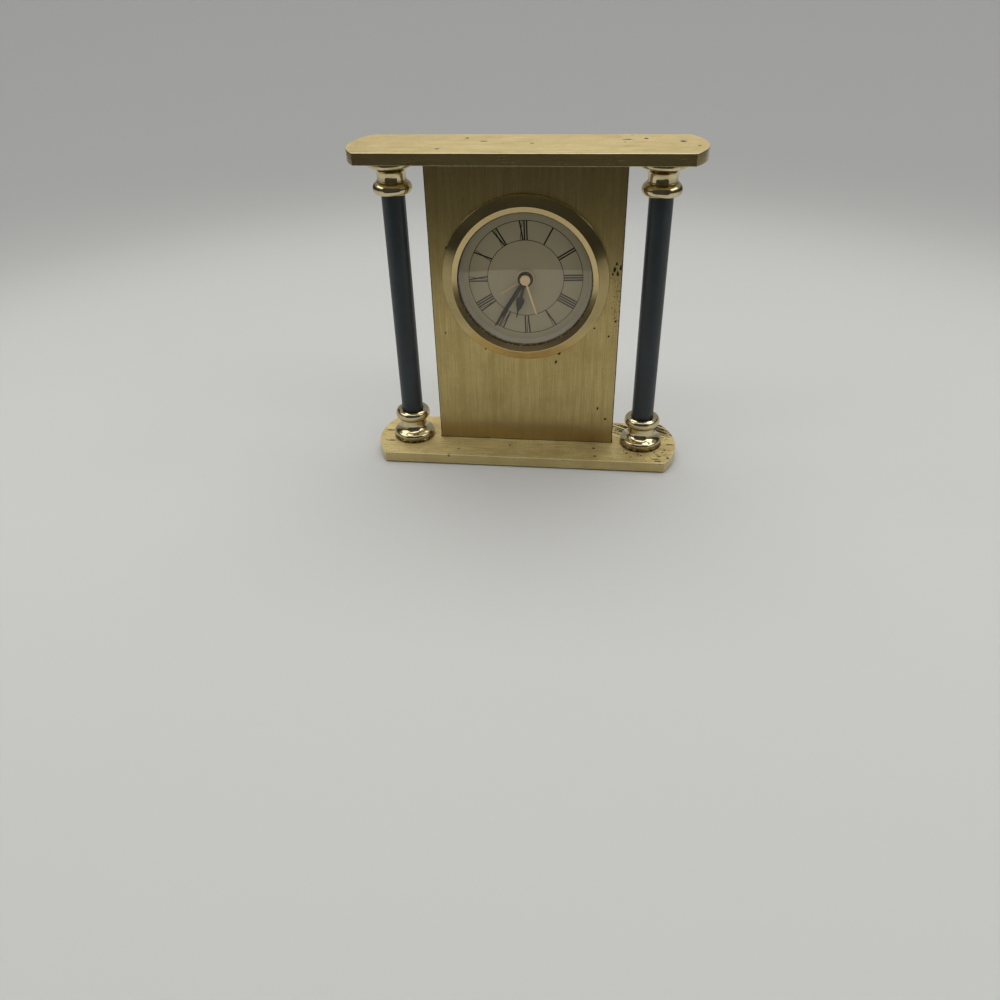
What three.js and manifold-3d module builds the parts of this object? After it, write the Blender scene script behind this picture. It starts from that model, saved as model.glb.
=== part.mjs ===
// Desk alarm clock: two bowed brass plates joined by two turned columns, and between them an upright
// brass panel that carries a quartz alarm movement. Millimetres, +Z up, the dial faces -Y.
import * as THREE from 'three';
import { mergeVertices } from 'three/addons/utils/BufferGeometryUtils.js';
import Module from 'manifold-3d';

const wasm = await Module();
wasm.setup();

// Stand
const overallHeight = 155.8;
const columnSpacing = 123;
const plateWidth = 146.6; // along the straight edges
const plateDepth = 41.5;
const plateBow = 6.85; // how far each end arc stands out
const plateThickness = 5.2;
const feltThickness = 0.8;
const feltInset = 1.2;
const panelWidth = 92.8;
const panelThickness = 3.2;
const grooveDepth = 1.5;
const grooveClearance = 0.15;

// Columns: the foot and the capital are one turned shape
const shaftDiameter = 11.1;
const footHeight = 16.4;
const footRadius = 10.9;
const footLip = 3.1; // height of the straight edge
const flareRadius = 10; // where the edge's bevel meets the flare
const flareHeight = 4.3;
const flareRun = 1.7; // how far in, and how far up, the flare starts out
const flareRise = 1;
const neckRadius = 6.65;
const neckHeight = 9.2; // where the flare has turned upright
const neckPull = 3.2;
const collarRadius = 7.05;
const collarHeight = 10.3;
const collarBand = 0.5;
const beadSwell = 9.5; // radius towards which the bead bulges
const beadLow = 1.2; // between the collar and the height of the bulge
const beadHigh = 1.7; // between that height and the top
const dishRadius = 7.5;
const dishDepth = 0.5;
const socketDepth = 3;
const socketClearance = 0.15;

// Tie rods inside the columns
const rodDiameter = 4;
const rodClearance = 0.15;
const rodGrip = 3; // length in the top plate
const nutAcross = 7;
const nutThickness = 2.2;
const washerDiameter = 9;
const washerThickness = 0.8;
const counterboreClearance = 0.4;

// Insert, seen from the front; depths count back from the panel's front face
const dialHeight = 94.2;
const flangeDiameter = 81;
const flangeEdge = 0.85;
const crestDiameter = 69.8;
const crestHeight = 3.4;
const mouthHeight = 2; // where the inner slope ends at the lens opening
const lensOpening = 65.4;
const lensLip = 0.9;
const lensDepth = -1.3;
const lensThickness = 1;
const dialDepth = 3.5;
const dialThickness = 0.5;
const dialRingWidth = 0.8;
const skirtThickness = 1;
const skirtLength = 5;
const insertClearance = 0.3;
const gripThickness = 0.8;
const gripLength = 2.4;

// Hands, as set in the photograph: degrees clockwise from twelve
const hourAngle = 193;
const minuteAngle = 212.5;
const secondAngle = 162;
const alarmAngle = 238;
const hourLength = 20;
const minuteLength = 28.1;
const secondLength = 17;
const alarmLength = 13.5;
const handThickness = 0.3;
const handSpacing = 0.7;
const alarmHalfRoot = 0.35;
const alarmHalfTip = 0.2;
const hourHalfStem = 0.55;
const hourHalfTip = 0.3;
const hourTip = 3.4; // from the end of the spade to the point
const spadeTail = 5.2; // from the widest place to the end of the spade
const spadeHead = 2.6; // from the stem to the widest place
const spadeHalf = 1.85;
const spadeFullness = 0.8;
const minuteHalf = 1.05;
const minuteHalfNeck = 0.5;
const minuteHalfTip = 0.35;
const minuteTip = 2.5;
const minuteShoulder = 0.9;
const secondHalfRoot = 0.5;
const secondHalfTip = 0.35;
const hourHub = 3.45;
const minuteHub = 3.1;
const alarmHub = 4.25;
const capRadius = 2.5;
const capHeight = 0.75;
const capFloor = 0.3;
const capRound = 0.3;
const capDome = 0.08;
const capFlat = 1.75; // radius where the cap's top starts to round over

// Movement
const frontPlateThickness = 1.5;
const roomDepth = 12.2;
const caseWall = 1.5;
const wheelThickness = 0.8;
const levelSpacing = 1.2;
const levelOffset = 0.4;
const pinionOverhang = 0.1;
const arborRadius = 0.5;
const tubeWall = 0.5;
const tubeGap = 0.25;
const pivotClearance = 0.15;
const fitClearance = 0.08;
const pivotBoss = 1.4;
const pivotBossLength = 1.5;
const pivotEnd = 0.3;

// Teeth of each wheel and pinion, and where the wheels stand
const rotorTeeth = 6;
const intermediateTeeth = 30;
const intermediatePinionTeeth = 6;
const secondTeeth = 36;
const secondPinionTeeth = 6;
const thirdTeeth = 45;
const thirdPinionTeeth = 6;
const centreTeeth = 48;
const cannonTeeth = 8;
const reverseTeeth = 24;
const reversePinionTeeth = 6;
const hourTeeth = 24;
const timeSetTeeth = 8;
const alarmTeeth = 24;
const alarmSetTeeth = 18;
const thirdOffset = 8.6;
const intermediateOffset = 8.68;
const rotorOffset = 5.28;
const motionModule = 0.41;
const alarmModule = 0.44;
const thirdDirection = 70;
const intermediateDirection = 150;
const rotorDirection = 120;
const reverseDirection = 215;
const timeSetDirection = 170;
const alarmSetDirection = 0;
const addendum = 0.75; // tooth heights and widths are shares of the module and the pitch
const dedendum = 1.1;
const tipHalfWidth = 0.09;
const rootHalfWidth = 0.27;

// Setting knobs, switch and battery door on the back
const setShaftRadius = 0.95;
const knobRadius = 4.2;
const knobHeight = 2.6;
const knobFlutes = 18;
const fluteDepth = 0.25;
const knobGap = 0.35;
const knobBore = 1.2;
const switchHeight = 23;
const switchTravel = 4;
const switchStem = 3;
const switchWidth = 7;
const switchRise = 1.6;
const switchFlange = 0.8;
const switchGap = 0.3;
const batteryDiameter = 10.5;
const batteryLength = 44.5;
const batteryOffset = 15;
const batteryFloor = 0.5;
const terminalDiameter = 3.8;
const terminalLength = 1;
const contactThickness = 0.4;
const contactGap = 0.2;
const contactWidth = 9;
const doorThickness = 1.2;
const doorLap = 1.3;
const doorGap = 0.1;
const doorRibs = 4;
const doorRibHeight = 0.6;
const railWidth = 1.4;
const railLip = 1;
const railGap = 0.3;
const railLength = 8;

// Motor, circuit and alarm
const magnetRadius = 2.2;
const magnetLength = 1.8;
const magnetDepth = 8.6;
const statorThickness = 1;
const statorLength = 20;
const statorWidth = 7.2;
const coreWidth = 2.4;
const coilOffset = 7.5;
const coilRadius = 3.2;
const coilLength = 15;
const coilWall = 1.6;
const postRadius = 1.2;
const boardWidth = 15;
const boardHeight = 14;
const boardThickness = 1;
const boardDepth = 2.5;
const boardX = 14.5;
const boardZ = 13;
const chipRadius = 2.5;
const chipHeight = 1;
const crystalRadius = 1;
const crystalLength = 6;
const buzzerRadius = 8;
const buzzerThickness = 1.2;
const alarmContactWidth = 12;
const alarmContactHeight = 3.7;
const caseScrews = 3;
const caseScrewStart = 60;
const screwRadius = 1;
const screwHead = 1.9;
const screwHeadHeight = 1;
const screwBoss = 2.6;
const screwInset = 1.5;

// Facets
const caseRound = 96;
const largeRound = 40;
const middleRound = 20;
const smallRound = 10;
const curveSteps = 4;
const weld = 1e-4;

// Places worked out from the sizes above
const radians = THREE.MathUtils.degToRad;
const halfSpacing = columnSpacing / 2;
const baseTop = feltThickness + plateThickness;
const topBottom = overallHeight - plateThickness;
const shaftRadius = shaftDiameter / 2;
const rodRadius = rodDiameter / 2;
const rodHole = rodRadius + rodClearance;
const skirtInner = lensOpening / 2 + lensLip;
const skirtOuter = skirtInner + skirtThickness;
const panelBore = skirtOuter + gripThickness + insertClearance;
const coreRadius = skirtInner - insertClearance; // lens, dial, plate and case
const dialBack = dialDepth + dialThickness;
const roomFront = dialBack + frontPlateThickness;
const roomBack = roomFront + roomDepth;
const caseBack = roomBack + caseWall;
const caseInner = coreRadius - caseWall;
const level = (number) => roomFront + levelOffset + number * levelSpacing;
const pivotHole = arborRadius + pivotClearance;
const cannonInner = arborRadius + tubeGap;
const cannonOuter = cannonInner + tubeWall;
const hourInner = cannonOuter + tubeGap;
const hourOuter = hourInner + tubeWall;
const alarmInner = hourOuter + tubeGap;
const alarmOuter = alarmInner + tubeWall;
const handFront = (step) => dialDepth - (step + 1) * handSpacing;

const finish = (color, roughness, metalness) =>
  new THREE.MeshStandardMaterial({ color, roughness, metalness });
const satinBrass = finish(0xb59c5f, 0.42, 1);
const polishedBrass = finish(0xcdb676, 0.16, 1);
const darkPaint = finish(0x262c2d, 0.38, 0.2);
const glass = finish(0xdfe5e2, 0.05, 0);
const dialSilver = finish(0xa8a294, 0.45, 0.6);
const ringGrey = finish(0x8b8980, 0.5, 0.2);
const handBlack = finish(0x161616, 0.45, 0.1);
const handGold = finish(0xe3c98a, 0.3, 0.9);
const blackPlastic = finish(0x1b1c1e, 0.5, 0);
const whitePlastic = finish(0xe6e3da, 0.5, 0);
const steel = finish(0xb9bcbf, 0.3, 1);
const copper = finish(0xb06a3a, 0.4, 0.9);
const boardGreen = finish(0x2f5a38, 0.6, 0);
const rubber = finish(0x202020, 0.8, 0);
const felt = finish(0x23352a, 0.95, 0);
const cellSleeve = finish(0x4a5560, 0.35, 0.2);

// Leaves only welded positions, drops triangles without area and turns the faces outwards.
function closed(geometry) {
  const bare = geometry.clone();
  bare.deleteAttribute('normal');
  bare.deleteAttribute('uv');
  const merged = mergeVertices(bare, weld);
  const corners = Array.from(merged.index.array);
  const point = (i) => new THREE.Vector3().fromBufferAttribute(merged.attributes.position, i);
  const index = [];
  let volume = 0;
  for (let i = 0; i < corners.length; i += 3) {
    const [a, b, c] = corners.slice(i, i + 3);
    if (a !== b && b !== c && c !== a) {
      index.push(a, b, c);
      volume += point(a).dot(point(b).cross(point(c)));
    }
  }
  merged.setIndex(volume < 0 ? index.reverse() : index);
  return merged;
}

function solidOf(geometry) {
  const shell = closed(geometry);
  const vertProperties = Float32Array.from(shell.attributes.position.array);
  const triVerts = Uint32Array.from(shell.index.array);
  return new wasm.Manifold(new wasm.Mesh({ numProp: 3, vertProperties, triVerts }));
}

function geometryOf(solid) {
  const { vertProperties, triVerts } = solid.getMesh();
  const geometry = new THREE.BufferGeometry();
  geometry.setAttribute('position', new THREE.BufferAttribute(vertProperties, 3));
  geometry.setIndex(Array.from(triVerts));
  return geometry;
}

const join = (first, ...others) =>
  geometryOf(others.reduce((sum, other) => sum.add(solidOf(other)), solidOf(first)));
const cut = (first, ...others) =>
  geometryOf(others.reduce((sum, other) => sum.subtract(solidOf(other)), solidOf(first)));

const vector = ([x, y]) => new THREE.Vector2(x, y);
const bend = (corners, steps) => new THREE.CubicBezierCurve(...corners.map(vector)).getPoints(steps);

// A profile of (radius, distance) points turned about the Y axis; it closes on itself.
function turned(profile, segments) {
  const points = profile.map((point) => (point.isVector2 ? point : vector(point)));
  return closed(new THREE.LatheGeometry([...points, points[0]], segments));
}

// A turned piece stood upright, its profile's distance along Z.
const upright = (profile, segments) => turned(profile, segments).rotateX(Math.PI / 2);

const ring = (inner, outer, front, back, segments) =>
  turned([[inner, front], [outer, front], [outer, back], [inner, back]], segments);

const rod = (radius, front, back, segments = smallRound) =>
  new THREE.CylinderGeometry(radius, radius, back - front, segments).translate(0, (front + back) / 2, 0);

const pillar = (radius, bottom, top, segments = smallRound) =>
  rod(radius, bottom, top, segments).rotateX(Math.PI / 2);

// A flat shape in X and Y, raised along Z.
const raised = (shape, bottom, top) =>
  new THREE.ExtrudeGeometry(shape, { depth: top - bottom, bevelEnabled: false, curveSegments: smallRound })
    .translate(0, 0, bottom);

// A flat shape in X and Z, given depth along Y.
const deepened = (shape, front, back) =>
  raised(shape, 0, back - front).rotateX(Math.PI / 2).translate(0, back, 0);

const block = (x0, x1, y0, y1, z0, z1) =>
  new THREE.BoxGeometry(x1 - x0, y1 - y0, z1 - z0).translate((x0 + x1) / 2, (y0 + y1) / 2, (z0 + z1) / 2);

const outline = (points) => new THREE.Shape(points.map(vector));
const moved = (geometry, [x, z]) => geometry.clone().translate(x, 0, z);
const polar = (distance, degrees, [x, z] = [0, 0]) =>
  [x + distance * Math.cos(radians(degrees)), z + distance * Math.sin(radians(degrees))];

const clock = new THREE.Group();
const insert = new THREE.Group();
insert.position.set(0, -panelThickness / 2, dialHeight);
clock.add(insert);

function add(name, geometry, material, { parent = clock, x = 0, y = 0, z = 0, turn = 0 } = {}) {
  const mesh = new THREE.Mesh(closed(geometry), material);
  mesh.name = name;
  mesh.position.set(x, y, z);
  mesh.rotation.y = turn;
  parent.add(mesh);
  return mesh;
}

const addInsert = (name, geometry, material, [x, z] = [0, 0], turn = 0) =>
  add(name, geometry, material, { parent: insert, x, z, turn });

// Plates: straight long edges, ends bowed out in an arc that meets them at a crease
function plateShape(inset) {
  const halfWidth = plateWidth / 2;
  const halfDepth = plateDepth / 2;
  const arc = (halfDepth ** 2 + plateBow ** 2) / (2 * plateBow);
  const centre = halfWidth + plateBow - arc;
  const radius = arc - inset;
  const spread = Math.asin((halfDepth - inset) / radius);
  const shape = new THREE.Shape();
  shape.absarc(centre, 0, radius, -spread, spread, false);
  shape.absarc(-centre, 0, radius, Math.PI - spread, Math.PI + spread, false);
  return shape;
}

const grooveHalfWidth = panelWidth / 2 + grooveClearance;
const grooveHalfDepth = panelThickness / 2 + grooveClearance;
const groove = (bottom, top) =>
  block(-grooveHalfWidth, grooveHalfWidth, -grooveHalfDepth, grooveHalfDepth, bottom, top);
const sides = [['left', -halfSpacing], ['right', halfSpacing]];
const counterbore = washerDiameter / 2 + counterboreClearance;
const nutBottom = feltThickness + pivotEnd;
const washerBottom = nutBottom + nutThickness;
const counterboreTop = washerBottom + washerThickness;

function plates() {
  const baseCuts = sides.flatMap(([, x]) => [
    pillar(counterbore, 0, counterboreTop, middleRound).translate(x, 0, 0),
    pillar(rodHole, 0, overallHeight, middleRound).translate(x, 0, 0),
  ]);
  const topCuts = sides.map(([, x]) =>
    pillar(rodHole, 0, topBottom + rodGrip + rodClearance, middleRound).translate(x, 0, 0));
  const base = raised(plateShape(0), feltThickness, baseTop);
  const top = raised(plateShape(0), topBottom, overallHeight);
  add('base_plate', cut(base, groove(baseTop - grooveDepth, overallHeight), ...baseCuts), satinBrass);
  add('top_plate', cut(top, groove(0, topBottom + grooveDepth), ...topCuts), satinBrass);
  add('felt_pad', raised(plateShape(feltInset), 0, feltThickness), felt);
}

function panel() {
  const halfWidth = panelWidth / 2;
  const bottom = baseTop - grooveDepth + grooveClearance;
  const top = topBottom + grooveDepth - grooveClearance;
  const face = block(-halfWidth, halfWidth, -panelThickness / 2, panelThickness / 2, bottom, top);
  const bore = rod(panelBore, -panelThickness, panelThickness, largeRound).translate(0, 0, dialHeight);
  add('dial_panel', cut(face, bore), satinBrass);
}

// Foot: a lip, a flare drawn in to a neck, a collar and a bead with a dished top for the shaft
function footProfile() {
  const collarTop = collarHeight + collarBand;
  const socket = shaftRadius + socketClearance;
  const floor = footHeight - socketDepth;
  return [
    [rodHole, 0],
    [footRadius, 0],
    [footRadius, footLip],
    ...bend([[flareRadius, flareHeight], [flareRadius - flareRun, flareHeight + flareRise],
      [neckRadius, neckHeight - neckPull], [neckRadius, neckHeight]], curveSteps),
    [neckRadius, collarHeight],
    [collarRadius, collarHeight],
    ...bend([[collarRadius, collarTop], [beadSwell, collarTop + beadLow],
      [beadSwell, footHeight - beadHigh], [dishRadius, footHeight]], curveSteps),
    [socket, footHeight - dishDepth],
    [socket, floor],
    [rodHole, floor],
  ];
}

function columns() {
  const foot = upright(footProfile(), middleRound);
  const footEnd = footHeight - socketDepth + socketClearance;
  const shaft = cut(pillar(shaftRadius, baseTop + footEnd, topBottom - footEnd, middleRound),
    pillar(rodHole, 0, overallHeight, middleRound));
  const tie = pillar(rodRadius, nutBottom, topBottom + rodGrip, middleRound);
  const hexagon = pillar(nutAcross / Math.sqrt(3), nutBottom, washerBottom, 6);
  const nut = cut(hexagon, pillar(rodHole, 0, overallHeight, middleRound));
  const washer = cut(pillar(washerDiameter / 2, washerBottom, counterboreTop, middleRound),
    pillar(rodHole, 0, overallHeight, middleRound));
  for (const [side, x] of sides) {
    add(`column_shaft_${side}`, shaft, darkPaint, { x });
    add(`column_foot_${side}`, foot, polishedBrass, { x, z: baseTop });
    const capital = add(`column_capital_${side}`, foot, polishedBrass, { x, z: topBottom });
    capital.rotation.x = Math.PI;
    add(`tie_rod_${side}`, tie, steel, { x });
    add(`tie_nut_${side}`, nut, steel, { x });
    add(`tie_washer_${side}`, washer, steel, { x });
  }
}

// Bezel: a flange on the panel, a ridge round the lens, and a skirt through the panel's bore
function insertFront() {
  const flange = flangeDiameter / 2;
  const crest = crestDiameter / 2;
  const opening = lensOpening / 2;
  const bezel = [
    [flange, 0],
    [flange, -flangeEdge],
    [crest, -crestHeight],
    [opening, -mouthHeight],
    [opening, lensDepth],
    [skirtInner, lensDepth],
    [skirtInner, skirtLength],
    [skirtOuter, skirtLength],
    [skirtOuter, 0],
  ];
  const lensBack = lensDepth + lensThickness;
  const tubeHole = alarmOuter + pivotClearance;
  addInsert('bezel', turned(bezel, largeRound), polishedBrass);
  addInsert('lens', rod(coreRadius, lensDepth, lensBack, largeRound), glass);
  addInsert('dial_ring', ring(coreRadius - dialRingWidth, coreRadius, lensBack, dialDepth, largeRound),
    ringGrey);
  addInsert('dial', ring(tubeHole, coreRadius, dialDepth, dialBack, largeRound), dialSilver);
  const gripInner = skirtOuter + insertClearance / 2;
  const gripFront = (panelThickness - gripLength) / 2;
  const grip = ring(gripInner, gripInner + gripThickness, gripFront, gripFront + gripLength, largeRound);
  addInsert('grip_ring', grip, rubber);
}

// Hands: a hub and a pointer drawn towards twelve, then turned to the time
function hands() {
  const hub = (radius, bore, step) =>
    ring(bore, radius, handFront(step), handFront(step) + handThickness, middleRound);
  const pointer = (right, step) => {
    const left = right.map(([half, reach]) => [-half, reach]).reverse();
    return deepened(outline([...right, ...left]), handFront(step), handFront(step) + handThickness);
  };
  const bore = (tube) => tube + fitClearance;
  const place = (name, geometry, material, degrees) =>
    addInsert(name, geometry, material, [0, 0], radians(degrees));

  const alarmStart = (alarmOuter + alarmHub) / 2;
  const alarm = pointer([[alarmHalfRoot, alarmStart], [alarmHalfTip, alarmLength]], 0);
  place('alarm_hand', join(hub(alarmHub, bore(alarmOuter), 0), alarm), handGold, alarmAngle);

  const hourStart = (hourOuter + hourHub) / 2;
  const spadeEnd = hourLength - hourTip;
  const spadeWide = spadeEnd - spadeTail;
  const spadeShoulder = spadeFullness * spadeHalf;
  const spade = pointer([[hourHalfStem, hourStart], [hourHalfStem, spadeWide - spadeHead],
    [spadeShoulder, spadeWide - spadeHead / 2], [spadeHalf, spadeWide],
    [spadeShoulder, spadeWide + spadeTail / 2], [hourHalfStem, spadeEnd], [hourHalfTip, hourLength]], 1);
  place('hour_hand', join(hub(hourHub, bore(hourOuter), 1), spade), handBlack, hourAngle);

  const minuteStart = (cannonOuter + minuteHub) / 2;
  const minuteNeck = minuteLength - minuteTip;
  const baton = pointer([[minuteHalf, minuteStart], [minuteHalf, minuteNeck - minuteShoulder],
    [minuteHalfNeck, minuteNeck], [minuteHalfTip, minuteLength]], 2);
  place('minute_hand', join(hub(minuteHub, bore(cannonOuter), 2), baton), handBlack, minuteAngle);

  const back = handFront(3) + handThickness;
  const front = back - capHeight;
  const pin = bore(arborRadius);
  const cap = turned([[0, front], [capFlat, front + capDome], [capRadius, front + capRound],
    [capRadius, back], [pin, back], [pin, front + capFloor], [0, front + capFloor]], middleRound);
  const needle = pointer([[secondHalfRoot, capRadius / 2], [secondHalfTip, secondLength]], 3);
  place('second_hand', join(cap, needle), handGold, secondAngle);
}

// Wheels: straight-sided teeth with backlash, each pair set tooth to gap on its line of centres
function toothed(teeth, module, front, back, phase) {
  const pitch = 2 * Math.PI / teeth;
  const tip = module * (teeth / 2 + addendum);
  const root = module * (teeth / 2 - dedendum);
  const points = [];
  for (let tooth = 0; tooth < teeth; tooth += 1) {
    const flanks = [[root, -rootHalfWidth], [tip, -tipHalfWidth], [tip, tipHalfWidth],
      [root, rootHalfWidth]];
    for (const [radius, share] of flanks) {
      const angle = phase + (tooth + share) * pitch;
      points.push([radius * Math.cos(angle), radius * Math.sin(angle)]);
    }
  }
  return deepened(outline(points), front, back);
}

// Phase of a wheel that meshes with another whose phase is known, in the given direction from it.
function meshPhase(direction, teeth, phase, otherTeeth) {
  const share = (radians(direction) - phase) * teeth / (2 * Math.PI);
  return radians(direction) + Math.PI + (share - 0.5) * 2 * Math.PI / otherTeeth;
}

const span = (teeth, otherTeeth, module) => module * (teeth + otherTeeth) / 2;
const moduleFor = (distance, teeth, otherTeeth) => 2 * distance / (teeth + otherTeeth);
const wheelAt = (number, teeth, module, phase) =>
  toothed(teeth, module, level(number), level(number) + wheelThickness, phase);
const pinionAt = (number, teeth, module, phase) =>
  toothed(teeth, module, level(number) - pinionOverhang, level(number + 1), phase);

const thirdPlace = polar(thirdOffset, thirdDirection);
const intermediatePlace = polar(intermediateOffset, intermediateDirection);
const rotorPlace = polar(rotorOffset, rotorDirection, intermediatePlace);
const reverseDistance = span(cannonTeeth, reverseTeeth, motionModule);
const reversePlace = polar(reverseDistance, reverseDirection);
const hourModule = moduleFor(reverseDistance, reversePinionTeeth, hourTeeth);
const timeSetPlace = polar(span(timeSetTeeth, reverseTeeth, motionModule), timeSetDirection, reversePlace);
const alarmSetPlace = polar(span(alarmTeeth, alarmSetTeeth, alarmModule), alarmSetDirection);
const arborFront = dialBack + pivotEnd;
const arborBack = roomBack - pivotEnd;
const reversePhase = meshPhase(reverseDirection, cannonTeeth, 0, reverseTeeth);

function train() {
  const arbor = rod(arborRadius, arborFront, arborBack);

  const rotorModule = moduleFor(rotorOffset, rotorTeeth, intermediateTeeth);
  const rotorPinion = toothed(rotorTeeth, rotorModule, level(6) - pinionOverhang,
    level(6) + wheelThickness + pinionOverhang, 0);
  const magnet = rod(magnetRadius, magnetDepth, magnetDepth + magnetLength, middleRound);
  addInsert('rotor', join(arbor, rotorPinion, magnet), steel, rotorPlace);

  const towardsIntermediate = rotorDirection + 180;
  const intermediateWheel = wheelAt(6, intermediateTeeth, rotorModule,
    meshPhase(towardsIntermediate, rotorTeeth, 0, intermediateTeeth));
  const intermediateModule = moduleFor(intermediateOffset, intermediatePinionTeeth, secondTeeth);
  const intermediatePinion = pinionAt(5, intermediatePinionTeeth, intermediateModule, 0);
  addInsert('intermediate_wheel', join(arbor, intermediatePinion, intermediateWheel), whitePlastic,
    intermediatePlace);

  const secondWheel = wheelAt(5, secondTeeth, intermediateModule,
    meshPhase(intermediateDirection + 180, intermediatePinionTeeth, 0, secondTeeth));
  const secondModule = moduleFor(thirdOffset, secondPinionTeeth, thirdTeeth);
  const secondPinion = pinionAt(4, secondPinionTeeth, secondModule, 0);
  const capInside = handFront(3) + handThickness - capHeight + capFloor;
  const secondArbor = rod(arborRadius, capInside + fitClearance, arborBack);
  addInsert('second_wheel', join(secondArbor, secondPinion, secondWheel), whitePlastic);

  const thirdWheel = wheelAt(4, thirdTeeth, secondModule,
    meshPhase(thirdDirection, secondPinionTeeth, 0, thirdTeeth));
  const thirdModule = moduleFor(thirdOffset, thirdPinionTeeth, centreTeeth);
  const thirdPinion = pinionAt(3, thirdPinionTeeth, thirdModule, 0);
  addInsert('third_wheel', join(arbor, thirdPinion, thirdWheel), whitePlastic, thirdPlace);

  const centreWheel = wheelAt(3, centreTeeth, thirdModule,
    meshPhase(thirdDirection + 180, thirdPinionTeeth, 0, centreTeeth));
  const cannon = pinionAt(2, cannonTeeth, motionModule, 0);
  const cannonTube = rod(cannonOuter, handFront(2), level(3) + wheelThickness, middleRound);
  const cannonBore = rod(cannonInner, -roomBack, roomBack, middleRound);
  addInsert('centre_wheel', cut(join(cannonTube, cannon, centreWheel), cannonBore), whitePlastic);

  const reverseWheel = wheelAt(2, reverseTeeth, motionModule, reversePhase);
  const reversePinion = pinionAt(1, reversePinionTeeth, hourModule, 0);
  const reverseBore = rod(pivotHole, 0, roomBack);
  addInsert('reverse_wheel', cut(join(reversePinion, reverseWheel), reverseBore), whitePlastic,
    reversePlace);

  const hourWheel = wheelAt(1, hourTeeth, hourModule,
    meshPhase(reverseDirection + 180, reversePinionTeeth, 0, hourTeeth));
  const hourTube = rod(hourOuter, handFront(1), level(1) + wheelThickness, middleRound);
  const hourBore = rod(hourInner, -roomBack, roomBack, middleRound);
  addInsert('hour_wheel', cut(join(hourTube, hourWheel), hourBore), whitePlastic);

  const alarmWheel = wheelAt(0, alarmTeeth, alarmModule,
    meshPhase(alarmSetDirection + 180, alarmSetTeeth, 0, alarmTeeth));
  const alarmTube = rod(alarmOuter, handFront(0), level(0) + wheelThickness, middleRound);
  const alarmBore = rod(alarmInner, -roomBack, roomBack, middleRound);
  addInsert('alarm_wheel', cut(join(alarmTube, alarmWheel), alarmBore), whitePlastic);
}

// Setting shafts run from the front plate through the back of the case to their fluted knobs
function settingKnobs() {
  const knobFront = caseBack + knobGap;
  const shaftEnd = knobFront + knobBore;
  const flutes = [];
  for (let step = 0; step < 2 * knobFlutes; step += 1) {
    flutes.push(polar(knobRadius - (step % 2) * fluteDepth, step * 180 / knobFlutes));
  }
  const knob = cut(deepened(outline(flutes), knobFront, knobFront + knobHeight),
    rod(setShaftRadius + fitClearance, 0, shaftEnd + fitClearance));
  const shaft = rod(setShaftRadius, arborFront, shaftEnd);
  const timePhase = meshPhase(timeSetDirection, reverseTeeth, reversePhase, timeSetTeeth);
  const timePinion = toothed(timeSetTeeth, motionModule, level(2) - pinionOverhang,
    level(2) + wheelThickness + pinionOverhang, timePhase);
  const alarmGear = toothed(alarmSetTeeth, alarmModule, level(0) - pinionOverhang,
    level(0) + wheelThickness + pinionOverhang, 0);
  addInsert('time_set_shaft', join(shaft, timePinion), whitePlastic, timeSetPlace);
  addInsert('time_set_knob', knob, blackPlastic, timeSetPlace);
  addInsert('alarm_set_shaft', join(shaft, alarmGear), whitePlastic, alarmSetPlace);
  addInsert('alarm_set_knob', knob, blackPlastic, alarmSetPlace);
}

// Motor frame: local Z points outwards from the dial's centre through the rotor
const rotorAngle = Math.atan2(rotorPlace[1], rotorPlace[0]);
const motorTurn = Math.PI / 2 - rotorAngle;
const statorDepth = magnetDepth + (magnetLength - statorThickness) / 2;
const statorPosts = [-1, 1].map((side) => {
  const along = side * (statorLength / 2 - postRadius);
  return [rotorPlace[0] + along * Math.cos(motorTurn), rotorPlace[1] - along * Math.sin(motorTurn)];
});
const boardFront = roomFront + boardDepth;
const boardPosts = [-1, 1].map((side) =>
  [boardX + side * (boardWidth / 2 - postRadius), boardZ - side * (boardHeight / 2 - postRadius)]);
const screwPlaces = Array.from({ length: caseScrews }, (_, number) =>
  polar(caseInner - screwInset, caseScrewStart + number * 360 / caseScrews));
const screwHole = screwRadius + pivotClearance;

function frontPlate() {
  const disc = rod(coreRadius, dialBack, roomFront, largeRound);
  const post = (back) => rod(postRadius, dialBack, back);
  const hole = (radius) => rod(radius, 0, roomBack);
  const posts = [
    ...statorPosts.map((place) => moved(post(statorDepth), place)),
    ...boardPosts.map((place) => moved(post(boardFront), place)),
    moved(rod(arborRadius, dialBack, level(2) + wheelThickness + pinionOverhang), reversePlace),
  ];
  const holes = [
    rod(alarmOuter + pivotClearance, 0, roomBack, middleRound),
    ...[thirdPlace, intermediatePlace, rotorPlace].map((place) => moved(hole(pivotHole), place)),
    ...[timeSetPlace, alarmSetPlace].map((place) => moved(hole(setShaftRadius + pivotClearance), place)),
    ...screwPlaces.map((place) => moved(hole(screwHole), place)),
  ];
  addInsert('front_plate', cut(join(disc, ...posts), ...holes), blackPlastic);
}

const doorHalfWidth = batteryLength / 2 + contactGap / 2 + doorLap;
const doorTop = -batteryOffset + batteryDiameter / 2 + doorLap;
const doorBottom = -batteryOffset - batteryDiameter / 2 - doorLap;
const doorFront = caseBack + doorGap;
const doorBack = doorFront + doorThickness;

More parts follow.
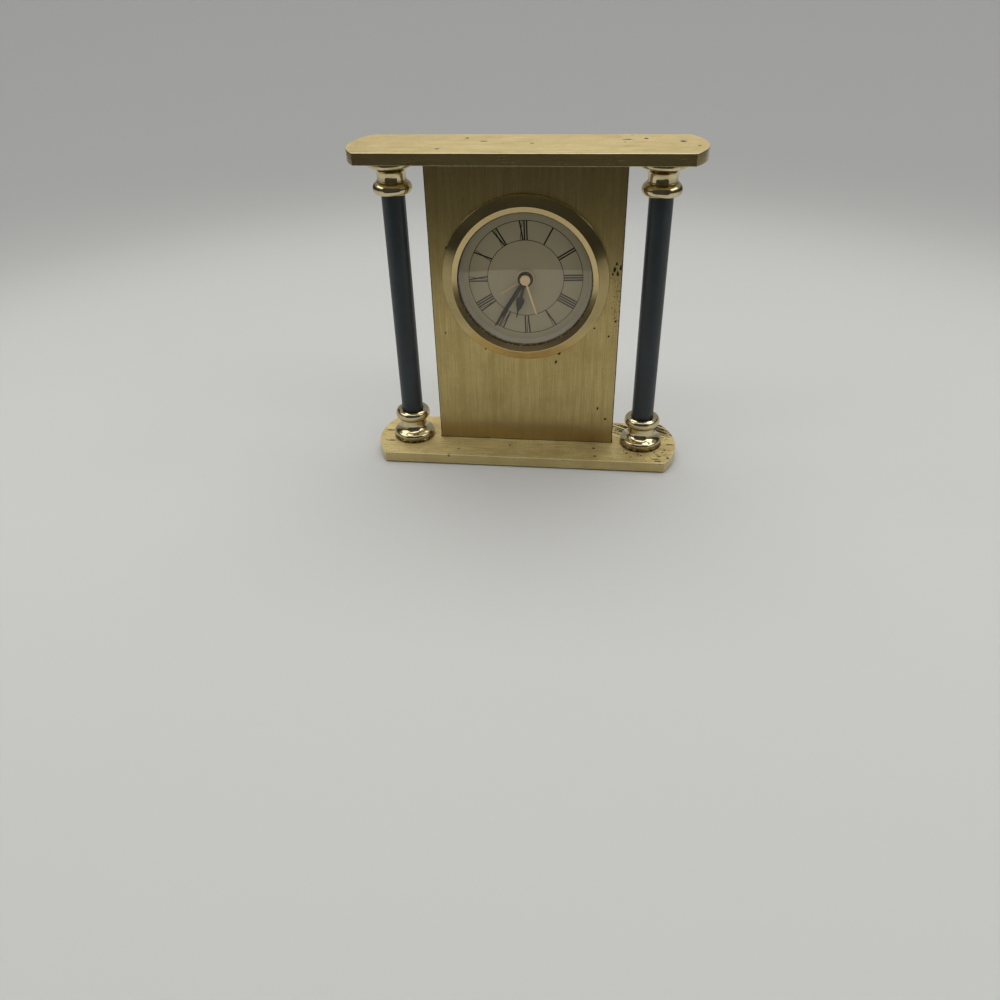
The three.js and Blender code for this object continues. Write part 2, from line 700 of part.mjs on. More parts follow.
function movementCase() {
  const cup = turned([[0, roomBack], [caseInner, roomBack], [caseInner, roomFront], [coreRadius, roomFront],
    [coreRadius, caseBack], [0, caseBack]], caseRound);
  const boss = rod(pivotBoss, roomBack - pivotBossLength, roomBack + caseWall / 2);
  const bosses = [[0, 0], thirdPlace, intermediatePlace, rotorPlace].map((place) => moved(boss, place));
  const column = rod(screwBoss, roomFront, roomBack + caseWall / 2);
  const railInner = doorHalfWidth + railGap;
  const rails = [-1, 1].flatMap((side) => {
    const lipFront = doorBack + railGap;
    const wall = [side * railInner, side * (railInner + railWidth)].sort((a, b) => a - b);
    const lip = [side * (railInner - railLip), side * (railInner + railWidth)].sort((a, b) => a - b);
    const top = doorTop - railGap;
    const bottom = top - railLength;
    return [
      block(...wall, caseBack - caseWall / 2, lipFront + doorThickness / 2, bottom, top),
      block(...lip, lipFront, lipFront + doorThickness / 2, bottom, top),
    ];
  });
  const pivot = rod(pivotHole, 0, roomBack);
  const shaftHole = rod(setShaftRadius + pivotClearance, 0, 2 * caseBack);
  const screwCut = join(rod(screwHole, 0, caseBack),
    rod(screwHead + pivotClearance, caseBack - screwHeadHeight, 2 * caseBack));
  const slotHalf = (switchTravel + switchStem) / 2 + switchGap;
  const batteryHalf = batteryLength / 2 + contactGap / 2;
  const cuts = [
    ...[[0, 0], thirdPlace, intermediatePlace, rotorPlace].map((place) => moved(pivot, place)),
    ...[timeSetPlace, alarmSetPlace].map((place) => moved(shaftHole, place)),
    ...screwPlaces.map((place) => moved(screwCut, place)),
    block(-slotHalf, slotHalf, roomBack - caseWall, 2 * caseBack, switchHeight - switchStem / 2 - switchGap,
      switchHeight + switchStem / 2 + switchGap),
    block(-batteryHalf, batteryHalf, roomBack - caseWall, caseBack + doorGap / 2,
      -batteryOffset - batteryDiameter / 2 - contactGap, -batteryOffset + batteryDiameter / 2 + contactGap),
  ];
  const screwColumns = screwPlaces.map((place) => moved(column, place));
  addInsert('movement_case', cut(join(cup, ...bosses, ...screwColumns, ...rails), ...cuts), blackPlastic);
  const screw = join(rod(screwRadius, arborFront, caseBack - screwHeadHeight / 2),
    rod(screwHead, caseBack - screwHeadHeight, caseBack));
  screwPlaces.forEach((place, number) => addInsert(`case_screw_${number + 1}`, screw, steel, place));
}

function backControls() {
  const ribs = Array.from({ length: doorRibs }, (_, number) => {
    const z = doorTop - (number + 1) * (doorTop - doorBottom) / (doorRibs + 1);
    return block(-doorHalfWidth / 3, doorHalfWidth / 3, doorFront, doorBack + doorRibHeight,
      z - doorRibHeight, z + doorRibHeight);
  });
  const door = block(-doorHalfWidth, doorHalfWidth, doorFront, doorBack, doorBottom, doorTop);
  addInsert('battery_door', join(door, ...ribs), blackPlastic);

  const stemHalf = switchStem / 2;
  const flangeBack = roomBack - switchGap;
  const buttonFront = caseBack + switchGap;
  const slider = join(
    block(-stemHalf, stemHalf, flangeBack - switchFlange, buttonFront + switchRise / 2, -stemHalf, stemHalf),
    block(-switchStem, switchStem, flangeBack - switchFlange, flangeBack, -switchStem, switchStem),
    block(-switchWidth / 2, switchWidth / 2, buttonFront, buttonFront + switchRise, -switchStem, switchStem),
  );
  addInsert('alarm_switch', slider, whitePlastic, [-switchTravel / 2, switchHeight]);
}

function motor() {
  const half = statorLength / 2;
  const coreOuter = coilOffset + coreWidth / 2;
  const frame = outline([[-half, -statorWidth / 2], [half, -statorWidth / 2], [half, coreOuter],
    [-half, coreOuter]]);
  const windowHalf = half - coreWidth;
  const coreInner = coilOffset - coreWidth / 2;
  frame.holes.push(outline([[-windowHalf, statorWidth / 2], [windowHalf, statorWidth / 2],
    [windowHalf, coreInner], [-windowHalf, coreInner]]));
  const pole = rod(magnetRadius + insertClearance, 0, roomBack, middleRound);
  const stator = cut(deepened(frame, statorDepth, statorDepth + statorThickness), pole);
  addInsert('stator', stator, steel, rotorPlace, motorTurn);

  const wound = ring(coilRadius - coilWall, coilRadius, -coilLength / 2, coilLength / 2, middleRound)
    .rotateZ(Math.PI / 2).translate(0, statorDepth + statorThickness / 2, coilOffset);
  addInsert('motor_coil', wound, copper, rotorPlace, motorTurn);
}

function circuit() {
  const boardBack = boardFront + boardThickness;
  const board = block(-boardWidth / 2, boardWidth / 2, boardFront, boardBack,
    -boardHeight / 2, boardHeight / 2);
  addInsert('circuit_board', board, boardGreen, [boardX, boardZ]);
  const chip = rod(chipRadius, boardBack, boardBack + chipHeight, middleRound);
  addInsert('control_chip', chip, blackPlastic, [boardX + boardWidth / 6, boardZ - boardHeight / 6]);
  const crystal = rod(crystalRadius, -crystalLength / 2, crystalLength / 2).rotateZ(Math.PI / 2)
    .translate(0, boardBack + crystalRadius + fitClearance, 0);
  addInsert('quartz_crystal', crystal, steel, [boardX + boardWidth / 6, boardZ + boardHeight / 4]);
  const buzzer = rod(buzzerRadius, roomBack - buzzerThickness, roomBack, middleRound);
  addInsert('buzzer', buzzer, satinBrass, [boardX, boardZ]);
  const strip = block(-alarmContactWidth / 2, alarmContactWidth / 2, roomBack - alarmContactHeight, roomBack,
    -contactThickness / 2, contactThickness / 2);
  const stripHeight = switchHeight + switchStem + switchGap + contactThickness;
  addInsert('alarm_contact', strip, satinBrass, [0, stripHeight]);
}

function power() {
  const axis = roomFront + batteryFloor + batteryDiameter / 2;
  const bodyLength = batteryLength - terminalLength;
  const cell = rod(batteryDiameter / 2, -batteryLength / 2, -batteryLength / 2 + bodyLength, middleRound);
  const terminal = rod(terminalDiameter / 2, 0, batteryLength / 2, middleRound);
  const battery = join(cell, terminal).rotateZ(-Math.PI / 2).translate(0, axis, 0);
  addInsert('battery', battery, cellSleeve, [0, -batteryOffset]);
  const inner = batteryLength / 2 + contactGap;
  const contact = block(-contactThickness / 2, contactThickness / 2, roomFront, axis + contactWidth / 2,
    -contactWidth / 2, contactWidth / 2);
  const contactX = inner + contactThickness / 2;
  addInsert('battery_contact_plus', contact, steel, [contactX, -batteryOffset]);
  addInsert('battery_contact_minus', contact, steel, [-contactX, -batteryOffset]);
}

plates();
panel();
columns();
insertFront();
hands();
train();
settingKnobs();
frontPlate();
movementCase();
backControls();
motor();
circuit();
power();

export default clock;
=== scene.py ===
# %% [markdown]
# # A brass desk alarm clock
# This lesson dresses a finished mechanical model of a desk clock: two brushed brass plates, two
# dark columns with turned brass ends, an upright brass panel and a round alarm insert. The solids
# already sit in the right places, so nothing is moved here. Each step makes a finer skin for one
# piece, hangs it on the body that carries it, and gives it a finish.

# %% Load the clock's frame
import math

import bmesh
import bpy
import numpy as np
from mathutils import Matrix, Vector


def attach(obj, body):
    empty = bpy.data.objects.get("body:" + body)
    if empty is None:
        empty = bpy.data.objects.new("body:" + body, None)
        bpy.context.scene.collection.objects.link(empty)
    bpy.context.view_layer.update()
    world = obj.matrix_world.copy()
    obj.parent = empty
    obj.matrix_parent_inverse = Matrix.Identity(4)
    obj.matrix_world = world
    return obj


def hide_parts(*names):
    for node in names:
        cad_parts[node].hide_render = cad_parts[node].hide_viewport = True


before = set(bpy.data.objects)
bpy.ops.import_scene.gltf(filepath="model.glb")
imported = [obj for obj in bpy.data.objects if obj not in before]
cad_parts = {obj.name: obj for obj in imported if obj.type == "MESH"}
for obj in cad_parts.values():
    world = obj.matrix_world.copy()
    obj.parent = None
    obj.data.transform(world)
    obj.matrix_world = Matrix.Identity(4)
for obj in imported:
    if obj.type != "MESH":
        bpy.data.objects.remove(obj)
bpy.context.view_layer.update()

# %% [markdown]
# ## Shared sizes
# Sizes are typed in millimetres, as on a drawing, and turned into Blender's metres at the last
# moment. These few are needed in more than one step: the faces of both plates, the panel's front
# face, the height of the dial's centre, and how far out the columns stand.

# %% Shared sizes
MM = 0.001
BASE_UNDER, BASE_TOP, TOP_UNDER, TOP_FACE = 0.8, 6.0, 150.6, 155.8
PANEL_FACE, DIAL_Z, COLUMN_X = 1.6, 94.2, 61.5
print("millimetres between the plates:", round(TOP_UNDER - BASE_TOP, 3))


# %% [markdown]
# ## Skins made of rings
# Nearly every piece of this clock is turned, milled or stamped, so it can be described as a stack
# of closed loops: circles for a turned foot, outlines for a plate, small cross-sections for a hand.
# Blender's Screw or Extrude could sweep such loops, but a numpy array of shape (rings, points, 3)
# is easier to read and to shape by formula. The helpers below give the angles round a circle, put
# coordinates together as points, and turn a stack of rings into faces.

# %% Rings to faces
def circle(count):
    """Angles of that many points, once round."""
    return np.linspace(0, 2 * np.pi, count, endpoint=False)


def xyz(x, y, z):
    """Points from three coordinates, each stretched to the largest shape among them."""
    return np.stack(np.broadcast_arrays(x, y, z), axis=-1)


def shell(rings, bend=0.0, joined=False):
    """Skin over a stack of closed rings.

    Point j of ring i is joined to point j + 1 and to point j of ring i + 1 by a four-sided face.
    A joined stack runs on from its last ring to its first, as a ring doughnut does. Any other stack
    is closed by one flat face at each end. bend is one number per ring, kept for the finish.
    """
    count, around = rings.shape[:2]
    row = np.arange(count if joined else count - 1)[:, None] * around
    column = np.arange(around)[None, :]
    up, right = (row + around) % (count * around), (column + 1) % around
    corners = np.stack([row + column, row + right, up + right, up + column], axis=-1).ravel()
    sizes = np.full(corners.size // 4, 4)
    if not joined:
        ends = np.concatenate([column[0][::-1], column[0] + (count - 1) * around])
        corners = np.concatenate([corners, ends])
        sizes = np.append(sizes, [around, around])
    marks = np.broadcast_to(np.reshape(bend, (-1, 1)), (count, around))
    return rings.reshape(-1, 3), corners, sizes, marks.ravel()


def gather(shells):
    """One list of points and faces from several shells, each numbered on from the one before."""
    points, corners, sizes, bends = zip(*shells)
    starts = np.cumsum([0] + [len(part) for part in points[:-1]])
    numbered = [part + start for part, start in zip(corners, starts)]
    return tuple(np.concatenate(parts) for parts in (points, numbered, sizes, bends))


# %% [markdown]
# ## Soft corners
# A machined edge is never perfectly sharp: it catches a thin line of light. A Bevel modifier can do
# that, but here the profile itself is softened before it is swept, which costs nothing and also
# tells us where the metal bends. That number is kept on the mesh as the attribute "bend", above
# zero along outer edges and below zero in hollows. The finishes use it for wear, for a painted shade
# along the panel's edges, and for grime and a painted shade in the hollows.

# %% Profiles
def rounded(corners, radius, steps=4, closed=True):
    """Chain of lines with its corners softened.

    Each corner becomes a quadratic curve that leaves the line before it one radius early and meets
    the line after it one radius late. The radius is one number, or one for each corner. A point a
    little further out on each side keeps the flats flat. The second result is the sine of the turn,
    strongest at the middle of each curve.
    """
    p = np.asarray(corners, float)
    before, after = np.roll(p, 1, axis=0) - p, np.roll(p, -1, axis=0) - p
    back = np.linalg.norm(before, axis=1, keepdims=True)
    ahead = np.linalg.norm(after, axis=1, keepdims=True)
    before, after = before / back, after / ahead
    reach = np.minimum(np.reshape(radius, (-1, 1)), 0.4 * np.minimum(back, ahead))[:, None]
    t = np.linspace(0, 1, steps + 1)[None, :, None]
    corner, lead, leave = p[:, None], before[:, None] * reach, after[:, None] * reach
    curve = corner + (1 - t) ** 2 * lead + t ** 2 * leave
    chain = np.concatenate([corner + 1.2 * lead, curve, corner + 1.2 * leave], axis=1)
    swell = np.pad(4 * t[0, :, 0] * (1 - t[0, :, 0]), 1)
    turn = before[:, 1] * after[:, 0] - before[:, 0] * after[:, 1]
    following = np.roll(p, -1, axis=0)
    side = np.sign(np.sum(p[:, 0] * following[:, 1] - following[:, 0] * p[:, 1]))
    chain, bend = chain.reshape(-1, 2), (side * turn[:, None] * swell).ravel()
    if not closed:
        inner = slice(steps + 3, -steps - 3)
        chain = np.concatenate([p[:1], chain[inner], p[-1:]])
        bend = np.pad(bend[inner], 1)
    return chain, bend


def bezier(start, pull_start, pull_end, end, steps=16):
    """Cubic curve: each point is the four given ones weighed by the binomials of t and 1 - t."""
    t = np.linspace(0, 1, steps + 1)[:, None]
    a, b, c, d = (np.array(point) for point in (start, pull_start, pull_end, end))
    return (1 - t) ** 3 * a + 3 * t * (1 - t) ** 2 * b + 3 * t * t * (1 - t) * c + t ** 3 * d


# %% [markdown]
# ## From arrays to objects
# foreach_set copies a whole array into the mesh at once. The faces are then turned to look outwards
# and shaded smooth, except across edges that turn by more than about 35 degrees. Every object stays
# at the origin with its place in its points, so a pattern in object coordinates sits still on it.

# %% Add one piece
finishes = {}


def fill(name, points, corners, sizes):
    """Mesh from points in metres, the faces' corners in one row, and how many corners each has."""
    mesh = bpy.data.meshes.new(name)
    mesh.vertices.add(len(points))
    mesh.vertices.foreach_set("co", points.ravel())
    mesh.loops.add(len(corners))
    mesh.loops.foreach_set("vertex_index", corners.astype(np.int32))
    mesh.polygons.add(len(sizes))
    mesh.polygons.foreach_set("loop_start", (np.cumsum(sizes) - sizes).astype(np.int32))
    mesh.update(calc_edges=True)
    mesh.shade_smooth()
    return mesh


def add_piece(name, body, shells, finish, nodes=()):
    """Makes one object from shells given in millimetres and hangs it on a body of the clock.
    """
    points, corners, sizes, bend = gather(shells)
    mesh = fill(name, points * MM, corners, sizes)
    mesh.attributes.new("bend", "FLOAT", "POINT").data.foreach_set("value", bend.astype(np.float32))
    return dress(name, body, mesh, finish, nodes)


def dress(name, body, mesh, finish, nodes):
    """Turns a mesh's faces outwards, marks its sharp edges, and lets it stand for the given solids."""
    work = bmesh.new()
    work.from_mesh(mesh)
    bmesh.ops.recalc_face_normals(work, faces=work.faces)
    work.to_mesh(mesh)
    work.free()
    mesh.set_sharp_from_angle(angle=math.radians(35))
    piece = bpy.data.objects.new(name, mesh)
    bpy.context.scene.collection.objects.link(piece)
    mesh.materials.append(finishes[finish])
    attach(piece, body)
    if nodes:
        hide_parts(*nodes)
    print(f"{name}: {len(mesh.vertices)} points, {len(mesh.polygons)} faces, on {body}")
    return piece


# %% [markdown]
# ## Finishes
# A material is a small graph of nodes. Short helpers keep the graphs readable: one adds a node and
# fills its sockets, the others do arithmetic, stretch a value, read a noise or mix two colours.

# %% Node helpers
def plug(tree, node, sockets):
    """Fills a node's sockets: a value that is itself a socket is linked, others are typed in."""
    for key, value in sockets.items():
        if isinstance(value, bpy.types.NodeSocket):
            tree.links.new(value, node.inputs[key])
        else:
            node.inputs[key].default_value = value


def add(tree, kind, sockets, **settings):
    """Adds one shader node with its settings and sockets, and returns what comes out of it."""
    made = tree.nodes.new("ShaderNode" + kind)
    for key, value in settings.items():
        setattr(made, key, value)
    plug(tree, made, sockets)
    return made.outputs


def sums(tree, operation, first, second=0.0, clamp=False):
    """Result of one arithmetic step."""
    return add(tree, "Math", {0: first, 1: second}, operation=operation, use_clamp=clamp)[0]


def times(tree, first, second, clamp=False):
    """Product of two values."""
    return sums(tree, "MULTIPLY", first, second, clamp)


def vectors(tree, operation, first, second=(0, 0, 0)):
    """Result of one step with vectors: a single value for a length or distance, or else a vector."""
    results = add(tree, "VectorMath", {0: first, 1: second}, operation=operation)
    return results["Value" if operation in ("LENGTH", "DISTANCE") else "Vector"]


def span(tree, value, low, high, start=0.0, end=1.0, ease="LINEAR"):
    """Value stretched so that low becomes start and high becomes end, held between the two."""
    sockets = {"Value": value, "From Min": low, "From Max": high, "To Min": start, "To Max": end}
    return add(tree, "MapRange", sockets, interpolation_type=ease)[0]


def noise(tree, place, scale, detail=2.0, roughness=0.5, distortion=0.0):
    """Noise between zero and one; detail and roughness add finer layers, distortion swirls them."""
    return add(tree, "TexNoise", {"Vector": place, "Scale": scale, "Detail": detail,
                                  "Roughness": roughness, "Distortion": distortion})[0]


def tint(tree, amount, first, second, share=1.0, mode="MIX"):
    """Colour from first towards second, as far as the amount times the share says."""
    amount = amount if share == 1.0 else times(tree, amount, share)
    both = [c if isinstance(c, bpy.types.NodeSocket) else (*c, 1.0) for c in (first, second)]
    return add(tree, "Mix", {0: amount, 6: both[0], 7: both[1]}, data_type="RGBA", blend_type=mode)[2]


def new_group(name, inputs, outputs):
    """Empty node group with named sockets: the tree, what comes in, and what goes out."""
    tree = bpy.data.node_groups.new(name, "ShaderNodeTree")
    for label, kind, value in inputs:
        socket = tree.interface.new_socket(label, in_out="INPUT", socket_type="NodeSocket" + kind)
        socket.default_value = value
    for label in outputs:
        tree.interface.new_socket(label, in_out="OUTPUT", socket_type="NodeSocketFloat")
    return tree, tree.nodes.new("NodeGroupInput").outputs, tree.nodes.new("NodeGroupOutput").inputs


def place_group(tree, group, sockets):
    """Places a shared group in a material and returns its outputs."""
    return add(tree, "Group", sockets, node_tree=group)


# %% [markdown]
# ### Brush marks
# Satin brass is drawn along an abrasive belt, so it carries thousands of fine scratches that all
# run one way. A noise texture becomes scratches when its space is squeezed: very fine across the
# belt's travel and very long along it. The group reads the same noise at two finenesses, for single
# scratches and for the broader bands that catch the eye from a step away.

# %% Shared effect: brush marks
BAND_FINENESS = (0.16, 0.16, 0.16)
brush_marks, given, result = new_group(
    "brush_marks",
    [("Place", "Vector", (0, 0, 0)), ("Stretch", "Vector", (1, 1, 1))], ["Fine", "Broad"])
squeezed = vectors(brush_marks, "MULTIPLY", given["Place"], given["Stretch"])
bands = vectors(brush_marks, "MULTIPLY", squeezed, BAND_FINENESS)
fine, broad = noise(brush_marks, squeezed, 1.0, 4.0, 0.65), noise(brush_marks, bands, 1.0, 3.0, 0.6)
brush_marks.links.new(span(brush_marks, fine, 0.3, 0.7), result["Fine"])
brush_marks.links.new(span(brush_marks, broad, 0.32, 0.68), result["Broad"])
print("brush_marks:", len(brush_marks.nodes), "nodes")

# %% [markdown]
# ### Pits
# Old lacquer lets go in specks, and the brass under it corrodes into dark pits that gather in
# places. A noise texture cut off near its peaks leaves small ragged islands. Lifting the noise makes
# them more and larger, so a slow noise, and the marks that a finish asks for, lift it here and there.

# %% Shared effect: pits
PIT_RIM, PIT_FLOOR = 0.715, 0.745
pits, given, result = new_group(
    "pits",
    [("Place", "Vector", (0, 0, 0)), ("Stretch", "Vector", (800, 800, 800)), ("Lift", "Float", 0.0)],
    ["Pits"])
specks = noise(pits, vectors(pits, "MULTIPLY", given["Place"], given["Stretch"]), 1.0, 3.0, 0.6)
slow = span(pits, noise(pits, given["Place"], 55.0), 0.45, 0.7)
lift = sums(pits, "ADD", times(pits, slow, 0.06), given["Lift"])
pits.links.new(span(pits, sums(pits, "ADD", specks, lift), PIT_RIM, PIT_FLOOR), result["Pits"])
print("pits:", len(pits.nodes), "nodes")

# %% [markdown]
# ### Stains
# Other marks are not scattered: a blot here, a dash there, where a drop once dried. Each has a centre
# and a reach along each axis. The distance from the centre, counted in reaches, is below one inside
# the mark, and a little noise added to that distance frays its edge. The largest of several such
# masks shows them all.

# %% Shared effect: stain
stain, given, result = new_group(
    "stain",
    [("Place", "Vector", (0, 0, 0)), ("Centre", "Vector", (0, 0, 0)), ("Reach", "Vector", (1, 1, 1))],
    ["Stain"])
offset = vectors(stain, "SUBTRACT", given["Place"], given["Centre"])
reaches = vectors(stain, "LENGTH", vectors(stain, "DIVIDE", offset, given["Reach"]))
fray = times(stain, sums(stain, "SUBTRACT", noise(stain, given["Place"], 1100.0), 0.5), 1.6)
stain.links.new(span(stain, sums(stain, "ADD", reaches, fray), 1.1, 0.7), result["Stain"])


def stains(tree, place, marks):
    """Mask of several stains, each given as a centre and a reach in millimetres."""
    mask = 0.0
    for centre, reach in marks:
        sockets = {"Place": place, "Centre": [MM * c for c in centre], "Reach": [MM * r for r in reach]}
        mask = sums(tree, "MAXIMUM", place_group(tree, stain, sockets)["Stain"], mask)
    return mask


print("stain:", len(stain.nodes), "nodes")

# %% [markdown]
# ### Age
# Handling and air leave soft patches: tarnish on brass, dulled spots on paint, dust in a moulded
# grain. One group gives a slow patchy mask and a fine mottle, and reads the "bend" attribute, so
# that outer edges are rubbed bright, except on the panel, where they take a painted shade, and
# hollows keep their grime darkened further by a painted shade, both broken up by the mottle.

# %% Shared effect: age
age_and_shade, given, result = new_group(
    "age_and_shade",
    [("Place", "Vector", (0, 0, 0)), ("Patch Scale", "Float", 60.0)],
    ["Patches", "Mottle", "Edge Wear And Shade", "Grime And Shade"])
patch = noise(age_and_shade, given["Place"], given["Patch Scale"], 5.0, 0.6, 0.4)
mottle = span(age_and_shade, noise(age_and_shade, given["Place"], 900.0, 4.0), 0.3, 0.7)
bend = add(age_and_shade, "Attribute", {}, attribute_name="bend")["Fac"]
broken = span(age_and_shade, mottle, 0.15, 0.75, 0.35, 1.0)
age_and_shade.links.new(span(age_and_shade, patch, 0.46, 0.7), result["Patches"])
age_and_shade.links.new(mottle, result["Mottle"])
# Outer edges: rubbed wear, which the panel's finish turns into a painted shade.
age_and_shade.links.new(times(age_and_shade, span(age_and_shade, bend, 0.1, 0.8), broken), result["Edge Wear And Shade"])
# Hollows: grime, darkened further by a painted shade where recesses and joints would lie in shade.
age_and_shade.links.new(times(age_and_shade, span(age_and_shade, bend, -0.1, -0.7), broken), result["Grime And Shade"])
print("age:", len(age_and_shade.nodes), "nodes")


# %% [markdown]
# ### Satin brass
# The plates were brushed lengthwise and the panel up and down, so the finish is a function of the
# brushing direction. Scratches darken the colour, roughen the surface and dent it a few hundredths
# of a millimetre. Brushed metal also spreads its highlights across the scratches: the Anisotropic
# value does that, along the direction given to the Tangent socket. Coat is the lacquer over the
# metal: it adds a thin grey reflection that isn't tinted by the brass. The plates' upright faces
# are painted darker, a painted shade. Age comes on top, one layer after the other: tarnish, a
# painted reflection of the base along the panel's foot, corrosion, rubbed edges with a painted
# shade along the panel's edges, and grime darkened further by a painted shade in the hollows.

# %% Finish: satin brass
MOTTLED, SCRATCHED, TARNISHED = (0.36, 0.26, 0.09), (0.34, 0.25, 0.09), (0.40, 0.27, 0.09)
SHADED_SIDE, BASE_REFLECTION = (0.42, 0.32, 0.12), (0.50, 0.42, 0.29)
CORRODED, GRIMY_AND_SHADED = (0.045, 0.03, 0.014), (0.06, 0.04, 0.016)
STREAK_SLANT, STREAK_STRETCH, BASE_REFLECTION_FULL = 0.6, (22.0, 520.0, 70.0), 0.78


def start_finish(name):
    """New material with its Principled shader and the object's own coordinates."""
    material = bpy.data.materials.new(name)
    material.use_nodes = True
    finishes[name] = material
    tree = material.node_tree
    return tree, tree.nodes["Principled BSDF"], add(tree, "TexCoord", {})["Object"]


def satin_brass(name, tones, gloss, stretch, pitting, across, edge, blots, crowded=(), streaked=(),
                metal=1.0, polished_shaded_sides=False, reflected_below=0.0):
    """Brushed brass between two tones, whose scratches are as fine as stretch says on each axis.

    gloss is the roughness between scratches and on them, pitting the fineness of its pits, across the
    direction in which highlights spread, edge the colour of outer edges, near black on the panel as a
    painted shade. Pits crowd inside the crowded marks, and dark streaks run aslant inside the streaked
    ones. A haze makes metal less than one. With polished sides, the upright faces are smoother and
    painted darker, a painted shade. Below the height given last, in millimetres, the brass is painted
    greyer, a painted reflection of the base.
    """
    tree, shader, place = start_finish(name)
    along, _, up = add(tree, "SeparateXYZ", {0: place})
    brush = place_group(tree, brush_marks, {"Place": place, "Stretch": stretch})
    worn_and_shaded = place_group(tree, age_and_shade, {"Place": place, "Patch Scale": 45.0})
    crowd = times(tree, stains(tree, place, crowded), 0.11)
    pitted = place_group(tree, pits, {"Place": place, "Stretch": pitting, "Lift": crowd})["Pits"]
    lean = add(tree, "CombineXYZ", {1: times(tree, along, STREAK_SLANT)})[0]
    slanted = {"Place": vectors(tree, "ADD", place, lean), "Stretch": STREAK_STRETCH}
    wavy = span(tree, place_group(tree, brush_marks, slanted)["Fine"], 0.56, 0.48)
    streaks = times(tree, stains(tree, place, streaked), wavy)
    dark = sums(tree, "MAXIMUM", sums(tree, "MAXIMUM", pitted, streaks), stains(tree, place, blots))
    facing_up = 1.0
    if polished_shaded_sides:
        upward = add(tree, "SeparateXYZ", {0: add(tree, "NewGeometry", {})["Normal"]})[2]
        facing_up = span(tree, sums(tree, "ABSOLUTE", upward), 0.3, 0.9, 0.3, 1.0)
    colour = tint(tree, brush["Broad"], *tones)
    colour = tint(tree, worn_and_shaded["Mottle"], colour, MOTTLED, 0.2)
    scratch = times(tree, span(tree, brush["Fine"], 0.2, 0.8, 0.6, 0.0), facing_up)
    colour = tint(tree, scratch, colour, SCRATCHED)
    if polished_shaded_sides:
        # Painted shade: upright faces are painted darker than the tops.
        colour = tint(tree, span(tree, facing_up, 0.3, 1.0, 0.6, 0.0), colour, SHADED_SIDE)
    tarnish = times(tree, worn_and_shaded["Patches"], 0.45)
    colour = tint(tree, tarnish, colour, TARNISHED)
    # Painted reflection of the base: the panel's foot is painted greyer.
    if reflected_below:
        reflected = span(tree, up, reflected_below * MM, BASE_REFLECTION_FULL * reflected_below * MM)
        colour = tint(tree, reflected, colour, BASE_REFLECTION, 0.65)
    colour = tint(tree, dark, colour, CORRODED)
    # Edge colour: rubbed wear on the plates, a painted shade along the panel's edges.
    colour = tint(tree, times(tree, worn_and_shaded["Edge Wear And Shade"], 1.6, clamp=True), colour, edge)
    # Grime in the hollows, darkened further by a painted shade.
    colour = tint(tree, worn_and_shaded["Grime And Shade"], colour, GRIMY_AND_SHADED)
    rough = span(tree, brush["Fine"], 1.0, 0.0, *gloss)
    rough = sums(tree, "ADD", rough, times(tree, tarnish, 0.15))
    rough = times(tree, rough, sums(tree, "POWER", facing_up, 0.6))
    rough = sums(tree, "ADD", rough, times(tree, dark, 0.3), clamp=True)
    height = sums(tree, "SUBTRACT", times(tree, brush["Fine"], facing_up), times(tree, dark, 1.5))
    dents = add(tree, "Bump", {"Height": height, "Strength": 0.35, "Distance": 0.00004})[0]
    line = add(tree, "CombineXYZ", dict(enumerate(across)))[0]
    plug(tree, shader, {"Base Color": colour, "Roughness": rough, "Normal": dents, "Tangent": line,
                        "Metallic": metal, "Anisotropic": 0.8, "Coat Weight": 0.5,
                        "Coat Roughness": 0.2})


BRIGHT_EDGE, SHADED_EDGE = (0.92, 0.80, 0.45), (0.03, 0.022, 0.01)
BASE_BLOTS = [((x, y, BASE_TOP), (long, wide, 1.5)) for x, y, long, wide in (
    (75.5, -15.5, 0.8, 0.8), (68.6, -16.8, 2.4, 0.5), (69.9, -18.9, 2.0, 0.6), (76.8, -1.4, 2.2, 0.5),
    (36.8, -8.2, 0.8, 0.7), (37.7, -16.2, 0.9, 0.7), (54.2, -12.0, 0.8, 0.7), (-76.0, 3.0, 2.6, 0.6),
    (-72.5, -8.0, 3.0, 0.6), (-35.0, -14.1, 0.6, 0.6), (-39.3, -20.4, 0.8, 0.6), (-7.9, -8.3, 0.7, 0.6))]
TOP_BLOTS = [((x, y, TOP_FACE), (long, wide, 1.5)) for x, y, long, wide in (
    (-37.1, -12.1, 1.1, 1.0), (-27.4, 11.6, 1.0, 1.4), (-18.9, 4.4, 1.9, 0.8), (53.3, 10.5, 1.1, 1.5),
    (69.2, 4.3, 1.4, 1.7), (75.5, -4.7, 0.9, 0.9), (45.3, 8.5, 2.4, 1.0), (3.4, -0.2, 1.0, 0.8))]
PANEL_BLOTS = [((x, -PANEL_FACE, z), (wide, 1.2, tall)) for x, z, wide, tall in (
    (17.1, 57.1, 0.9, 1.0), (15.7, 52.2, 0.6, 1.0), (42.2, 20.3, 0.6, 0.7), (37.9, 26.4, 0.5, 0.9),
    (-37.6, 109.5, 0.6, 0.9), (-40.5, 66.4, 0.5, 0.7), (-20.3, 58.2, 0.5, 0.5), (34.3, 70.8, 0.5, 0.5),
    (41.4, 66.7, 0.5, 0.6), (44.5, 74.7, 0.5, 0.6), (42.6, 100.6, 0.8, 1.4), (44.2, 98.4, 0.6, 1.3),
    (41.8, 98.2, 0.5, 0.7), (43.4, 103.2, 0.5, 0.8), (45.4, 101.4, 0.5, 1.5))]
LENGTHWISE, LENGTHWISE_PITS = (80.0, 3600.0, 1800.0), (600.0, 1000.0, 900.0)
